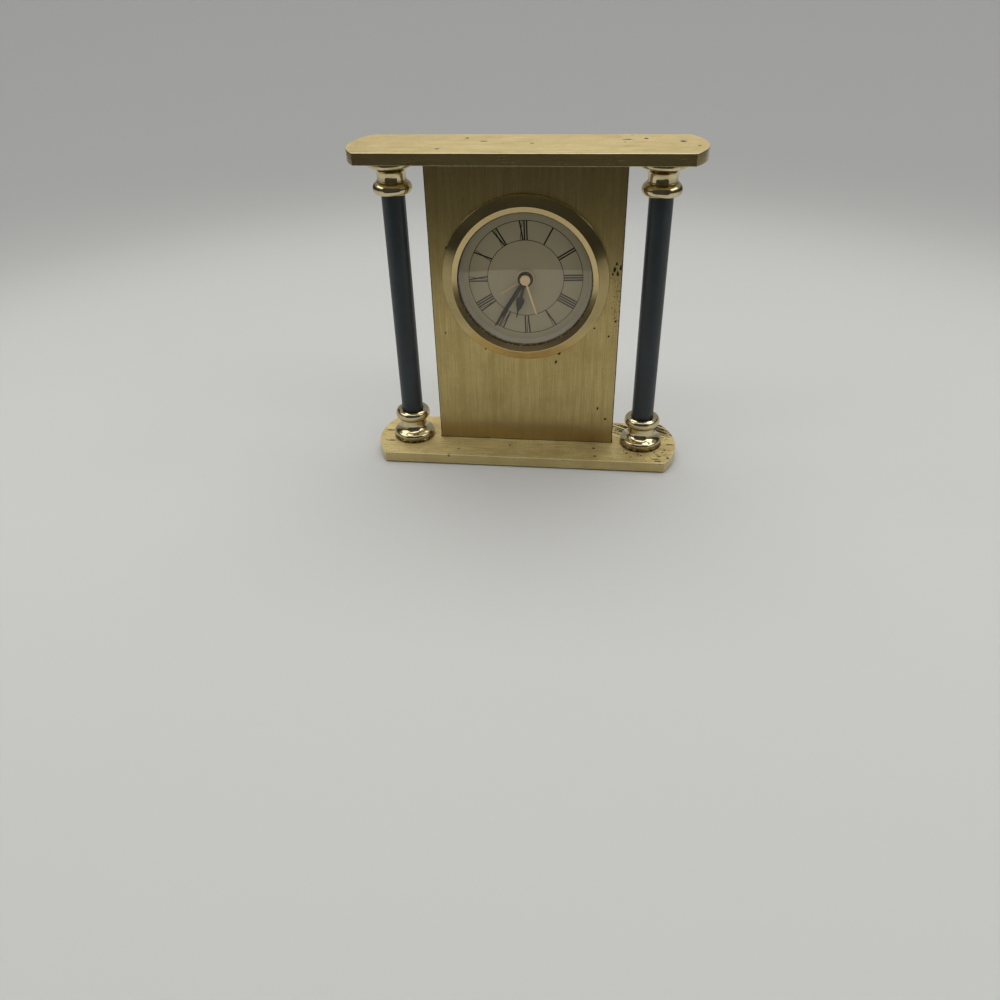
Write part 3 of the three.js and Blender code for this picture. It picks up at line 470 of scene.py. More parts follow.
satin_brass("satin_brass_top", ((0.72, 0.575, 0.26), (0.85, 0.70, 0.345)), (0.40, 0.54), LENGTHWISE,
            LENGTHWISE_PITS, (0, 1, 1), BRIGHT_EDGE, TOP_BLOTS, polished_shaded_sides=True)
satin_brass("satin_brass_base", ((0.88, 0.715, 0.32), (0.97, 0.82, 0.405)), (0.56, 0.72), LENGTHWISE,
            LENGTHWISE_PITS, (0, 1, 1), BRIGHT_EDGE, BASE_BLOTS,
            crowded=[((66.0, -12.0, BASE_TOP), (14.0, 10.0, 2.0))],
            streaked=[((62.0, 13.0, BASE_TOP), (19.0, 10.0, 2.0))], metal=0.8, polished_shaded_sides=True)
# The panel's edge colour is near black, a painted shade along its rounded edges.
satin_brass("satin_brass_panel", ((0.535, 0.41, 0.153), (0.65, 0.515, 0.215)), (0.31, 0.41),
            (3000.0, 1800.0, 50.0), (1400.0, 1200.0, 950.0), (1, 0, 0), SHADED_EDGE, PANEL_BLOTS,
            crowded=[((44.0, -PANEL_FACE, 99.0), (4.0, 3.0, 6.0)),
                     ((45.5, -PANEL_FACE, 82.0), (4.0, 3.0, 15.0))],
            reflected_below=18.5)
print("finishes so far:", sorted(finishes))

# %% [markdown]
# ### Polished brass
# Feet, capitals and bezel were turned and buffed. A mirror finish shows its surroundings, so the
# colour matters less than small irregularities: faint turning lines, finger smudges that dull the
# gloss, and brown grime left in the hollows where a cloth doesn't reach, darkened further by a
# painted shade. The feet are painted darker towards their outline, a painted shade where they turn
# away from the eye, and the bezel's inner slope and lower rim are painted bright, a painted
# reflection.

# %% Finish: polished brass
PAINTED_REFLECTION, OUTLINE_SHADE, SMUDGED = (0.86, 0.66, 0.33), (0.16, 0.11, 0.04), (0.5, 0.36, 0.13)
SPOTTED, CAKED_AND_SHADED, RUBBED = (0.08, 0.05, 0.02), (0.07, 0.045, 0.015), (0.95, 0.85, 0.55)
SLOPE_EDGE, SLOPE_LIT, SLOPE_SHARE, LIT_START, LIT_END = 35.6, 35.4, 0.55, -18.0, -36.0


def polished_brass(name, tones, gloss, smudge, turning, outline=0.0, painted_light=None):
    """Buffed brass, clean and tarnished; smudge is how far patches dull it.

    turning is the fineness of the lathe's lines on each axis. outline is how far the brass is painted
    darker where it turns away from the eye, a painted shade. The last argument makes a mask of brass
    painted brighter, a painted reflection.
    """
    tree, shader, place = start_finish(name)
    worn_and_shaded = place_group(tree, age_and_shade, {"Place": place, "Patch Scale": 110.0})
    lathe = place_group(tree, brush_marks, {"Place": place, "Stretch": turning})["Fine"]
    spots = place_group(tree, pits, {"Place": place, "Stretch": (1300.0, 1300.0, 1300.0)})["Pits"]
    patches = times(tree, worn_and_shaded["Patches"], smudge)
    colour, metal = tint(tree, patches, *tones), 1.0
    # Painted reflection: the mask paints the brass brighter.
    if painted_light:
        bright = painted_light(tree, place)
        colour, metal = tint(tree, bright, colour, PAINTED_REFLECTION), span(tree, bright, 0.0, 1.0, 1.0, 0.9)
    # Painted shade: darker where the brass turns away from the eye.
    away = add(tree, "LayerWeight", {"Blend": 0.4})["Facing"]
    colour = tint(tree, span(tree, away, 0.3, 1.0, 0.0, outline), colour, OUTLINE_SHADE)
    colour = tint(tree, worn_and_shaded["Mottle"], colour, SMUDGED, 0.12)
    colour = tint(tree, spots, colour, SPOTTED)
    # Grime in the hollows, darkened further by a painted shade.
    grime_and_shade = times(tree, worn_and_shaded["Grime And Shade"], 1.8, clamp=True)
    colour = tint(tree, grime_and_shade, colour, CAKED_AND_SHADED)
    colour = tint(tree, worn_and_shaded["Edge Wear And Shade"], colour, RUBBED, 0.3)
    rough = span(tree, patches, 0.0, 1.0, gloss, gloss + 0.12)
    rough = sums(tree, "ADD", rough, times(tree, lathe, 0.03))
    rough = sums(tree, "ADD", rough, times(tree, grime_and_shade, 0.3), clamp=True)
    ridges = add(tree, "Bump", {"Height": lathe, "Strength": 0.02, "Distance": 0.00003})[0]
    plug(tree, shader, {"Base Color": colour, "Roughness": rough, "Normal": ridges, "Metallic": metal})


def bezel_painted_light(tree, place):
    """Mask of the bezel's inner slope and, growing downwards, of its lower rim, a painted reflection."""
    from_dial = vectors(tree, "SUBTRACT", place, (0.0, 0.0, DIAL_Z * MM))
    across, _, up = add(tree, "SeparateXYZ", {0: from_dial})
    radius = vectors(tree, "LENGTH", add(tree, "CombineXYZ", {0: across, 2: up})[0])
    inner = span(tree, radius, SLOPE_EDGE * MM, SLOPE_LIT * MM, 0.0, SLOPE_SHARE)
    return sums(tree, "MAXIMUM", inner, span(tree, up, LIT_START * MM, LIT_END * MM))


polished_brass("polished_brass", ((0.71, 0.62, 0.385), (0.42, 0.33, 0.15)), 0.07, 0.8,
               (60.0, 60.0, 2600.0), outline=0.75)
polished_brass("bezel_brass", ((0.41, 0.33, 0.155), (0.36, 0.28, 0.125)), 0.16, 0.5,
               (300.0, 2600.0, 300.0), painted_light=bezel_painted_light)
print("finishes so far:", sorted(finishes))


# %% [markdown]
# ### Paint, plastic, rubber and printed parts
# The other finishes are coats rather than bare metal. They share one recipe, a colour that drifts a
# little in patches, a fine mottle in the gloss and a shallow grain, and differ in their numbers.

# %% Finish: coats and mouldings
def coat(name, colours, gloss, metal=0.0, grain=(900.0, 900.0, 900.0), depth=0.00002, patch=60.0,
         sheen=0.5):
    """Plain coat: two colours in drifting patches, gloss from low to high, a grain of given depth.

    sheen is the strength of its reflection, a half being that of common paint or plastic.
    """
    tree, shader, place = start_finish(name)
    worn_and_shaded = place_group(tree, age_and_shade, {"Place": place, "Patch Scale": patch})
    marks = place_group(tree, brush_marks, {"Place": place, "Stretch": grain})["Fine"]
    colour = tint(tree, worn_and_shaded["Patches"], *colours)
    colour = tint(tree, marks, colour, (0.5, 0.5, 0.5), 0.12, "MULTIPLY")
    lifted = tuple(min(1.0, 1.6 * c + 0.01) for c in colours[1])
    colour = tint(tree, worn_and_shaded["Edge Wear And Shade"], colour, lifted, 0.35)
    # Grime in the hollows, darkened further by a painted shade.
    colour = tint(tree, worn_and_shaded["Grime And Shade"], colour, (0.02, 0.015, 0.01), 0.8)
    rough = span(tree, worn_and_shaded["Mottle"], 0.0, 1.0, *gloss)
    ripples = add(tree, "Bump", {"Height": marks, "Strength": 0.4, "Distance": depth})[0]
    plug(tree, shader, {"Base Color": colour, "Roughness": rough, "Normal": ripples,
                        "Metallic": metal, "Specular IOR Level": sheen})


coat("dark_paint", ((0.016, 0.023, 0.026), (0.022, 0.031, 0.035)), (0.34, 0.46),
     grain=(700.0, 700.0, 500.0), depth=0.00001)
coat("ring_grey", ((0.34, 0.295, 0.225), (0.29, 0.25, 0.19)), (0.38, 0.5), depth=0.00001)
coat("dial_silver", ((0.425, 0.36, 0.225), (0.395, 0.335, 0.21)), (0.42, 0.52), metal=0.25,
     grain=(2500.0, 2500.0, 60.0), depth=0.000006, patch=25.0)
coat("print_black", ((0.007, 0.005, 0.003), (0.011, 0.009, 0.006)), (0.4, 0.5), depth=0.000004,
     sheen=0.12)
coat("hand_black", ((0.009, 0.007, 0.004), (0.013, 0.011, 0.007)), (0.36, 0.46), depth=0.000006,
     sheen=0.12)
coat("hand_gold", ((0.80, 0.56, 0.29), (0.75, 0.51, 0.26)), (0.28, 0.4), depth=0.000006)
coat("rubber", ((0.013, 0.013, 0.013), (0.019, 0.019, 0.018)), (0.6, 0.75))
coat("black_plastic", ((0.024, 0.024, 0.025), (0.031, 0.031, 0.032)), (0.36, 0.5),
     grain=(2600.0, 2600.0, 2600.0), depth=0.00003)
coat("white_plastic", ((0.76, 0.74, 0.67), (0.70, 0.67, 0.59)), (0.4, 0.5))
coat("steel", ((0.50, 0.51, 0.52), (0.42, 0.43, 0.45)), (0.26, 0.4), metal=1.0,
     grain=(2400.0, 2400.0, 80.0))
coat("copper", ((0.52, 0.17, 0.05), (0.42, 0.13, 0.04)), (0.25, 0.4), metal=1.0,
     grain=(4000.0, 4000.0, 200.0), depth=0.00006)
coat("board_green", ((0.03, 0.105, 0.042), (0.022, 0.085, 0.034)), (0.25, 0.35))
coat("cell_sleeve", ((0.068, 0.09, 0.117), (0.058, 0.078, 0.10)), (0.2, 0.3))
print("finishes so far:", len(finishes))

# %% [markdown]
# ### Glass
# The clock glass is a flat clear pane. A Principled shader with Transmission bends and reflects the
# light, but glass also throws a heavy shadow in a path tracer, so a Light Path node swaps it for a
# Transparent shader on shadow rays and on light that the dial scatters. A faint smear in the
# roughness keeps it from looking absent.

# %% Finish: glass
tree, shader, place = start_finish("lens_glass")
smear = place_group(tree, age_and_shade, {"Place": place, "Patch Scale": 70.0})["Patches"]
plug(tree, shader, {"Base Color": (0.97, 0.98, 0.97, 1.0), "Transmission Weight": 1.0, "IOR": 1.5,
                    "Specular IOR Level": 0.42, "Specular Tint": (1.0, 0.92, 0.78, 1.0),
                    "Roughness": span(tree, smear, 0.0, 1.0, 0.0, 0.05)})
clear = add(tree, "BsdfTransparent", {})[0]
path = add(tree, "LightPath", {})
open_way = sums(tree, "MAXIMUM", path["Is Shadow Ray"], path["Is Diffuse Ray"])
either = add(tree, "MixShader", {0: open_way, 1: shader.outputs[0], 2: clear})[0]
tree.links.new(either, tree.nodes["Material Output"].inputs["Surface"])
print("lens_glass:", len(tree.nodes), "nodes")

# %% [markdown]
# ### Felt
# Pressed felt is a mat of short fibres lying in every direction. Two stretched noises at right
# angles, mixed by a third, read as crossing fibres, and Sheen adds the pale fuzz seen at a low angle.

# %% Finish: felt
tree, shader, place = start_finish("felt")
lengthwise = place_group(tree, brush_marks, {"Place": place, "Stretch": (700.0, 5200.0, 3000.0)})
crosswise = place_group(tree, brush_marks, {"Place": place, "Stretch": (5200.0, 700.0, 3000.0)})
turned = span(tree, noise(tree, place, 1200.0), 0.45, 0.55)
fibre = add(tree, "Mix", {0: turned, 2: lengthwise["Fine"], 3: crosswise["Fine"]})[0]
mat = add(tree, "Bump", {"Height": fibre, "Strength": 0.8, "Distance": 0.0002})[0]
plug(tree, shader, {"Base Color": tint(tree, fibre, (0.008, 0.022, 0.013), (0.024, 0.055, 0.034)),
                    "Roughness": span(tree, fibre, 0.0, 1.0, 0.85, 0.97), "Normal": mat,
                    "Sheen Weight": 0.35, "Sheen Roughness": 0.5})
print("felt:", len(tree.nodes), "nodes")

# %% [markdown]
# ## Base and top plates
# Both plates are the same milled bar: straight long edges, bowed ends that meet them in a crisp
# crease, and a groove that grips the panel. The outline is drawn in by an inset, and a softened
# edge is then just a short chain of (inset, height) pairs carried round that outline.

# %% Plates
HALF_LENGTH, HALF_DEPTH, BOW = 73.3, 20.75, 6.85
END_RADIUS = (HALF_DEPTH ** 2 + BOW ** 2) / (2 * BOW)
END_CENTRE = HALF_LENGTH + BOW - END_RADIUS
GROOVE_HALF, GROOVE_WIDTH, GROOVE_DEPTH, GROOVE_GRIME_AND_SHADE = 46.55, 1.75, 1.5, 0.4
SOFT_EDGE, CRISP_EDGE, EDGE_BAND = 0.4, 0.12, 3.0
ALONG = np.linspace(-1, 1, 24, endpoint=False)
SWING = np.linspace(-1, 1, 48, endpoint=False)


def plate_loops(inset):
    """Outline of a plate drawn in by each inset: front line, right arc, back line, left arc.

    The arc's radius shrinks by the inset, and it sweeps the angle whose sine is the half depth over
    that radius, so it always ends on the straight edge.
    """
    inset = np.reshape(inset, (-1, 1))
    radius = END_RADIUS - inset
    sweep = np.arcsin((HALF_DEPTH - inset) / radius)
    crease = END_CENTRE + radius * np.cos(sweep)
    x = np.concatenate([crease * ALONG, END_CENTRE + radius * np.cos(sweep * SWING)], axis=1)
    y = np.concatenate([inset - HALF_DEPTH + 0 * ALONG, radius * np.sin(sweep * SWING)], axis=1)
    return np.concatenate([x, -x], axis=1), np.concatenate([y, -y], axis=1)


def groove_loop(out, z):
    """Rectangle of the groove pushed out by a distance, with as many points as a plate's outline."""
    half, width = GROOVE_HALF + out, GROOVE_WIDTH + out
    x = np.concatenate([half * ALONG, half + 0 * SWING])
    y = np.concatenate([-width + 0 * ALONG, width * SWING])
    return xyz(np.concatenate([x, -x]), np.concatenate([y, -y]), z)


def plate(grooved, plain):
    """Plate between two heights, with the panel's groove in the first; its upper edge is the softer."""
    line = [(EDGE_BAND, grooved), (0, grooved), (0, plain), (EDGE_BAND, plain)]
    soft = [SOFT_EDGE if z == max(grooved, plain) else CRISP_EDGE for _, z in line]
    chain, bend = rounded(line, soft, closed=False)
    edge = xyz(*plate_loops(chain[:, 0]), chain[:, 1:])
    floor = grooved + math.copysign(GROOVE_DEPTH, plain - grooved)
    # Groove and a band round its mouth: a hollow, for grime and a painted shade round the panel's foot.
    groove = [groove_loop(out, z) for out, z in ((0, floor), (0, grooved), (GROOVE_GRIME_AND_SHADE, grooved))]
    return shell(np.concatenate([groove, edge]), np.concatenate([[-1, -1, 0], bend]))


add_piece("brushed_base", "stand", [plate(BASE_TOP, BASE_UNDER)], "satin_brass_base", ["base_plate"])
add_piece("brushed_top", "stand", [plate(TOP_UNDER, TOP_FACE)], "satin_brass_top", ["top_plate"])

# %% [markdown]
# ## Dial panel
# The panel is a flat upright sheet with one round hole for the insert. A hole in a rectangle is
# awkward for a grid, unless the grid runs round the hole: each ray from the dial's centre meets the
# hole at one end and the rectangle at the other, so rings of such points cover the whole sheet.

# %% Panel
PANEL_HALF, PANEL_LOW, PANEL_HIGH, BORE = 46.4, 4.65, 151.95, 35.7
RIM_BAND, RIM_EDGE, BORE_EDGE = 2.0, 0.6, 0.2


def facing(profile, angles=circle(192)):
    """Profile of (radius, depth behind the panel's face) carried round the dial's axis.

    At the angle a, clockwise from twelve, a point is radius * sin a to the right, radius * cos a up.
    """
    r, depth = profile[:, :1], profile[:, 1:]
    return xyz(r * np.sin(angles), depth - PANEL_FACE, DIAL_Z + r * np.cos(angles))


def panel():
    """Sheet with a hole: rays from the dial's centre cut the rectangle, then rings step inwards.

    A ray at angle a reaches the nearest side, half width / |sin a| or height / |cos a|. Holding the
    points inside a smaller rectangle draws the ring in for the softened edge.
    """
    tall = np.array([PANEL_HIGH - DIAL_Z, DIAL_Z - PANEL_LOW])
    corner = np.arctan2(PANEL_HALF, np.array([tall[0], -tall[1]]))
    a = np.sort(np.concatenate([np.linspace(-np.pi, np.pi, 240, endpoint=False) + 0.001,
                                corner, -corner]))
    height = np.where(np.cos(a) > 0, tall[0], tall[1])
    reach = np.minimum(PANEL_HALF / np.abs(np.sin(a)), height / np.abs(np.cos(a)))
    rim, rim_bend = rounded([(RIM_BAND, -PANEL_FACE), (0, -PANEL_FACE), (0, PANEL_FACE),
                             (RIM_BAND, PANEL_FACE)], RIM_EDGE, closed=False)
    inset, y = rim[:, :1], rim[:, 1:]
    x = np.clip(reach * np.sin(a), inset - PANEL_HALF, PANEL_HALF - inset)
    z = np.clip(DIAL_Z + reach * np.cos(a), PANEL_LOW + inset, PANEL_HIGH - inset)
    hole, hole_bend = rounded([(BORE + RIM_BAND, PANEL_FACE), (BORE, PANEL_FACE), (BORE, -PANEL_FACE),
                               (BORE + RIM_BAND, -PANEL_FACE)], BORE_EDGE, closed=False)
    rings = np.concatenate([xyz(x, y, z), facing(hole + [0, PANEL_FACE], a)])
    return shell(rings, np.concatenate([rim_bend, hole_bend]), True)


add_piece("brushed_panel", "stand", [panel()], "satin_brass_panel", ["dial_panel"])

# %% [markdown]
# ## Columns
# Each column is a painted tube between two turned brass ends, all clamped by a rod inside. A turned
# piece is one profile of (radius, height) carried round an upright axis. The foot's profile is a
# chain of flats and Bezier curves: a grooved lip, a flare drawn in to the neck, a collar and a bead.
# The capital is the same turning upside down, which in numbers is only its height counted from the
# other end. The lip is marked as a hollow that fades, which paints grime and a contact shade where
# each turned end meets its plate.

# %% Feet, capitals and shafts
AROUND = 128
LIP, LIP_HIGH, LIP_DIRT_AND_SHADE = 10.5, 3.0, (-0.6, -0.18)
SHAFT_RADIUS, ROD_BORE, SHAFT_LOW, SHAFT_HIGH = 5.55, 2.4, 19.55, 137.05
FOOT = np.concatenate([
    [(10.9, 0.0), (10.9, 1.2), (10.65, 1.4), (10.9, 1.6)],
    bezier((10.9, 2.7), (10.9, 3.4), (10.5, 4.0), (10.0, 4.3), steps=8),
    bezier((10.0, 4.3), (8.3, 5.3), (6.65, 6.0), (6.65, 9.2))[1:],
    [(6.65, 10.3), (7.05, 10.3)],
    bezier((7.05, 10.8), (9.6, 11.6), (9.7, 15.2), (8.0, 16.1)),
    [(7.2, 16.4), (5.7, 16.4), (5.7, 13.4), (2.4, 13.4), (2.4, 0.0)]])


def upright(profile, x):
    """Profile of (radius, height) carried round an upright axis at x."""
    a = circle(AROUND)
    r, height = profile[:, :1], profile[:, 1:]
    return xyz(x + r * np.cos(a), r * np.sin(a), height)


foot, foot_bend = rounded(FOOT, 0.16, steps=3)
# The lip's bend paints grime and a contact shade where it meets the plate.
dirty_and_shaded = (foot[:, 0] > LIP) & (foot[:, 1] < LIP_HIGH)
foot_bend = np.where(dirty_and_shaded, np.interp(foot[:, 1], [0.0, LIP_HIGH], LIP_DIRT_AND_SHADE), foot_bend)
tube, tube_bend = rounded([(SHAFT_RADIUS, SHAFT_LOW), (SHAFT_RADIUS, SHAFT_HIGH),
                           (ROD_BORE, SHAFT_HIGH), (ROD_BORE, SHAFT_LOW)], 0.2)
for side, x in (("left", -COLUMN_X), ("right", COLUMN_X)):
    for end, line in (("foot", foot + [0, BASE_TOP]), ("capital", [0, TOP_UNDER] + foot * [1, -1])):
        add_piece(f"turned_{end}_{side}", "stand", [shell(upright(line, x), foot_bend, True)],
                  "polished_brass", [f"column_{end}_{side}"])
    add_piece(f"painted_shaft_{side}", "stand", [shell(upright(tube, x), tube_bend, True)],
              "dark_paint", [f"column_shaft_{side}"])

# %% [markdown]
# ## Bezel, glass and dial
# The insert's front is a set of nested turnings: the brass bezel with its broad outer slope and
# narrow inner slope, the flat glass behind its mouth, a grey funnel with fine grooves, and the
# dial. They are carried round the dial's axis in the same way, with depth counted back from the
# panel's face. The bezel's mouth and the funnel's front are marked as hollows, which paints grime
# and a dark shadow line against the glass.

# %% Insert front
MOUTH, MOUTH_DIRT_AND_SHADE = 32.4, 0.45
BEZEL = [(40.5, 0.0), (40.5, -0.85), (35.5, -3.4), (32.75, -2.1), (MOUTH, -1.32), (33.6, -1.3),
         (33.6, 5.0), (34.6, 5.0), (34.6, 0.0)]
bezel, bezel_bend = rounded(BEZEL, [0.25, 0.25, 0.25, 0.15, 0.1, 0.1, 0.1, 0.25, 0.25])
# The mouth's bend paints grime and a shadow line against the glass.
bezel_bend = np.where(bezel[:, 0] < MOUTH + MOUTH_DIRT_AND_SHADE, -1.0, bezel_bend)
add_piece("turned_bezel", "stand", [shell(facing(bezel), bezel_bend, True)], "bezel_brass",
          ["bezel"])

pane, _ = rounded([(2, -1.28), (33.25, -1.28), (33.25, -0.32), (2, -0.32)], 0.1, closed=False)
add_piece("flat_glass", "stand", [shell(facing(pane))], "lens_glass", ["lens"])

WALL_RADII, WALL_DEPTHS, WALL_OUT, WALL_DIRT_AND_SHADE = (32.2, 30.9), (-0.28, 3.5), 33.3, 0.2
GROOVES, FIRST_GROOVE, GROOVE_STEP, GROOVE_SIDE, GROOVE_CUT = 5, 0.4, 0.62, 0.11, 0.16
groove_depths = (FIRST_GROOVE + GROOVE_STEP * np.arange(GROOVES))[:, None]
groove_depths = groove_depths + [-GROOVE_SIDE, 0.0, GROOVE_SIDE]
groove_radii = np.interp(groove_depths, WALL_DEPTHS, WALL_RADII) + [0.0, GROOVE_CUT, 0.0]
grooves = np.stack([groove_radii, groove_depths], axis=-1).reshape(-1, 2)
(near, far), (front, back) = WALL_RADII, WALL_DEPTHS
wall = [(WALL_OUT, back), (WALL_OUT, front), (near, front), *grooves, (far, back)]
wall, wall_bend = rounded(wall, 0.05)
# The funnel's front bend paints grime and a shadow line behind the bezel.
wall_bend = np.where(wall[:, 1] < front + WALL_DIRT_AND_SHADE, -1.0, wall_bend)
add_piece("stepped_wall", "stand", [shell(facing(wall), wall_bend, True)], "ring_grey", ["dial_ring"])

disc, disc_bend = rounded([(2.9, 3.52), (33.28, 3.52), (33.28, 3.98), (2.9, 3.98)], 0.08)
add_piece("silver_dial", "stand", [shell(facing(disc), disc_bend, True)], "dial_silver", ["dial"])

# %% [markdown]
# ## Dial printing
# Two thin circles hold the twelve Roman numerals, which run from one circle to the other: heavy
# strokes, hairlines for the light strokes of V and X, and four strokes for the four. A text object
# would need a font, and a font's numerals wouldn't reach both circles. A stroke is only a straight
# bar from the inner circle to the outer one, so each is a thin slab with four corners.

# %% Circles and numerals
INNER, OUTER, DIAL_TURN = 18.6, 27.8, -2.0
HEAVY, HAIR, INK_FRONT, INK_BACK = 0.35, 0.15, 3.49, 3.53
STROKES = {"I": [(0.0, 0.0, HEAVY)],
           "V": [(0.0, -0.72, HEAVY), (0.0, 0.72, HAIR)],
           "X": [(0.66, -0.66, HEAVY), (-0.66, 0.66, HAIR)]}
PITCH = {"I": 1.2, "V": 1.75, "X": 1.75}
NUMERALS = ["I", "II", "III", "IIII", "V", "VI", "VII", "VIII", "IX", "X", "XI", "XII"]


def numeral_strokes():
    """Rows of (hour, inner offset, outer offset, half width), each numeral centred on its hour."""
    rows = []
    for hour, letters in enumerate(NUMERALS, start=1):
        pitch = np.array([PITCH[letter] for letter in letters])
        centres = np.cumsum(pitch) - pitch / 2 - pitch.sum() / 2
        rows += [(hour, centre + inner, centre + outer, half) for letter, centre in
                 zip(letters, centres) for inner, outer, half in STROKES[letter]]
    return np.array(rows)


def stroke_slabs():
    """Slabs of ink: offset u runs clockwise, v runs outwards, both turned by thirty times the hour."""
    hour, inner, outer, half = numeral_strokes().T
    u = np.stack([inner - half, inner + half, outer + half, outer - half], axis=-1)
    v = np.array([INNER, INNER, OUTER, OUTER])
    turn = np.radians(30 * hour + DIAL_TURN)[:, None]
    x = v * np.sin(turn) + u * np.cos(turn)
    z = DIAL_Z + v * np.cos(turn) - u * np.sin(turn)
    return [xyz(x, depth - PANEL_FACE, z) for depth in (INK_FRONT, INK_BACK)]


def ink_circle(radius, half=0.15):
    """Flat ring of ink, a thin rectangle carried round the dial."""
    flat = [(radius - half, INK_FRONT), (radius + half, INK_FRONT), (radius + half, INK_BACK),
            (radius - half, INK_BACK)]
    return shell(facing(np.array(flat)), 0.0, True)


slabs = np.stack(stroke_slabs(), axis=1)
add_piece("dial_print", "stand", [ink_circle(INNER), ink_circle(OUTER), *map(shell, slabs)],
          "print_black")
print("numeral strokes:", len(slabs))

# %% [markdown]
# ## Hands
# Hands are stamped from thin sheet and lightly crowned. Their outline is a half width that changes
# along the hand: the hour hand swells into a spade, the minute hand is a lance, the second and
# alarm hands are needles. A six-cornered cross-section scaled by that half width and carried along
# the hand gives the blade, and a flat turned ring makes the hub that sits on its tube.

# %% Hands
def blade(distance, half, front, clock_angle, crown=0.1, thick=0.3):
    """Blade of a hand along its clock angle: across = half width * section, out = distance."""
    distance, half = np.asarray(distance, float)[:, None], np.asarray(half, float)[:, None]
    across = half * np.array([-1, -1, -0.5, 0.5, 1, 1])
    depth = front + np.array([thick, crown, 0, 0, crown, thick])
    a = math.radians(clock_angle)
    x = distance * math.sin(a) + across * math.cos(a)
    z = DIAL_Z + distance * math.cos(a) - across * math.sin(a)
    return shell(xyz(x, depth - PANEL_FACE, z))


def hub(bore, radius, front, thick=0.3):
    """Flat ring round the dial's axis with softened edges."""
    ring, ring_bend = rounded([(bore, front), (radius, front), (radius, front + thick),
                               (bore, front + thick)], 0.09)
    return shell(facing(ring, circle(96)), ring_bend, True)


# Each hand's front face, as a depth behind the panel's face, and its clock angle in degrees.
HOUR, MINUTE, SECOND, ALARM = (2.1, 193.0), (1.4, 212.5), (0.7, 162.0), (2.8, 238.0)
STEM_START, STEM_END, WIDEST, SPADE_END, HOUR_END = 3.0, 9.0, 10.7, 16.7, 20.0
STEM_HALF, SPADE_HALF, NECK_HALF, TIP_HALF = 0.62, 2.05, 0.4, 0.25
reach = np.linspace(STEM_START, HOUR_END, 69)
swell = np.clip((reach - STEM_END) / (WIDEST - STEM_END), 0, 1)
taper = np.clip((reach - WIDEST) / (SPADE_END - WIDEST), 0, 1)
spade = STEM_HALF + (SPADE_HALF - STEM_HALF) * (3 * swell ** 2 - 2 * swell ** 3)
spade = np.where(reach > WIDEST, NECK_HALF + (SPADE_HALF - NECK_HALF) * (1 - taper ** 1.5), spade)
tip = np.interp(reach, [SPADE_END, HOUR_END], [NECK_HALF, TIP_HALF])
spade = np.where(reach > SPADE_END, tip, spade)
add_piece("hour_spade", "hour", [blade(reach, spade, *HOUR), hub(2.0, 3.9, HOUR[0])], "hand_black",
          ["hour_hand"])
lance = blade([2.6, 9.0, 20.0, 25.6, 28.1], [1.05, 1.05, 0.95, 0.5, 0.35], *MINUTE)
add_piece("minute_lance", "minute", [lance, hub(1.25, 2.4, MINUTE[0])], "hand_black", ["minute_hand"])
needle = blade([1.5, 8.0, 17.8], [0.46, 0.42, 0.36], *SECOND)
cap, cap_bend = rounded([(0.6, 0.25), (1.7, 0.25), (2.5, 0.5), (2.5, 1.0), (0.6, 1.0)], 0.3,
                        closed=False)
add_piece("second_needle", "second", [needle, shell(facing(cap), cap_bend)], "hand_gold",
          ["second_hand"])
pointer = blade([3.9, 9.0, 15.0], [0.26, 0.2, 0.1], *ALARM)
add_piece("alarm_pointer", "alarm", [pointer, hub(2.75, 4.25, ALARM[0])], "hand_gold", ["alarm_hand"])

# %% [markdown]
# ## Back of the insert
# The back is a moulded cup with rails for the battery door and a slot for the alarm switch. Its
# cut-outs don't follow any simple grid, so this one piece starts from a copy of the solid: its loose
# triangles are merged, the flats joined, and a narrow Bevel modifier softens the moulded edges.

# %% Moulded case
SAME_POINT, FLAT_DEGREES, EDGE_DEGREES, EDGE_WIDTH = 1e-6, 1, 40, 0.2
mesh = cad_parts["movement_case"].data.copy()
mesh.materials.clear()
work = bmesh.new()
work.from_mesh(mesh)
bmesh.ops.remove_doubles(work, verts=work.verts, dist=SAME_POINT)
bmesh.ops.dissolve_limit(work, angle_limit=math.radians(FLAT_DEGREES), verts=work.verts,
                         edges=work.edges)
work.to_mesh(mesh)
work.free()
mesh.shade_smooth()
case = dress("moulded_case", "stand", mesh, "black_plastic", ["movement_case"])
bevel = case.modifiers.new("moulded edges", "BEVEL")
bevel.width, bevel.segments, bevel.limit_method = EDGE_WIDTH * MM, 2, "ANGLE"
bevel.angle_limit, bevel.harden_normals = math.radians(EDGE_DEGREES), True

# %% [markdown]
# ## Grip ring, knobs, door and switch
# A rubber ring with two ridges holds the insert in its hole. The setting knobs are turnings whose
# radius drops into flutes as it goes round. The door and the switch are slabs: a rectangle with
# round corners, drawn in at its edges like the plates, with ribs for the thumb.

# %% Small parts of the back
def slab(x, z, half_x, half_z, front, back, corner=0.8, edge=0.25):
    """Slab between two depths: four corner arcs pushed out to a rectangle, drawn in at both faces."""
    a = circle(48) + np.pi / 48
    chain, bend = rounded([(corner * 0.7, front), (0, front), (0, back), (corner * 0.7, back)], edge,
                          steps=3, closed=False)
    arc = corner - chain[:, :1]
    out_x = x + np.sign(np.cos(a)) * (half_x - corner) + arc * np.cos(a)
    out_z = z + np.sign(np.sin(a)) * (half_z - corner) + arc * np.sin(a)
    return shell(xyz(out_x, chain[:, 1:] - PANEL_FACE, out_z), bend)


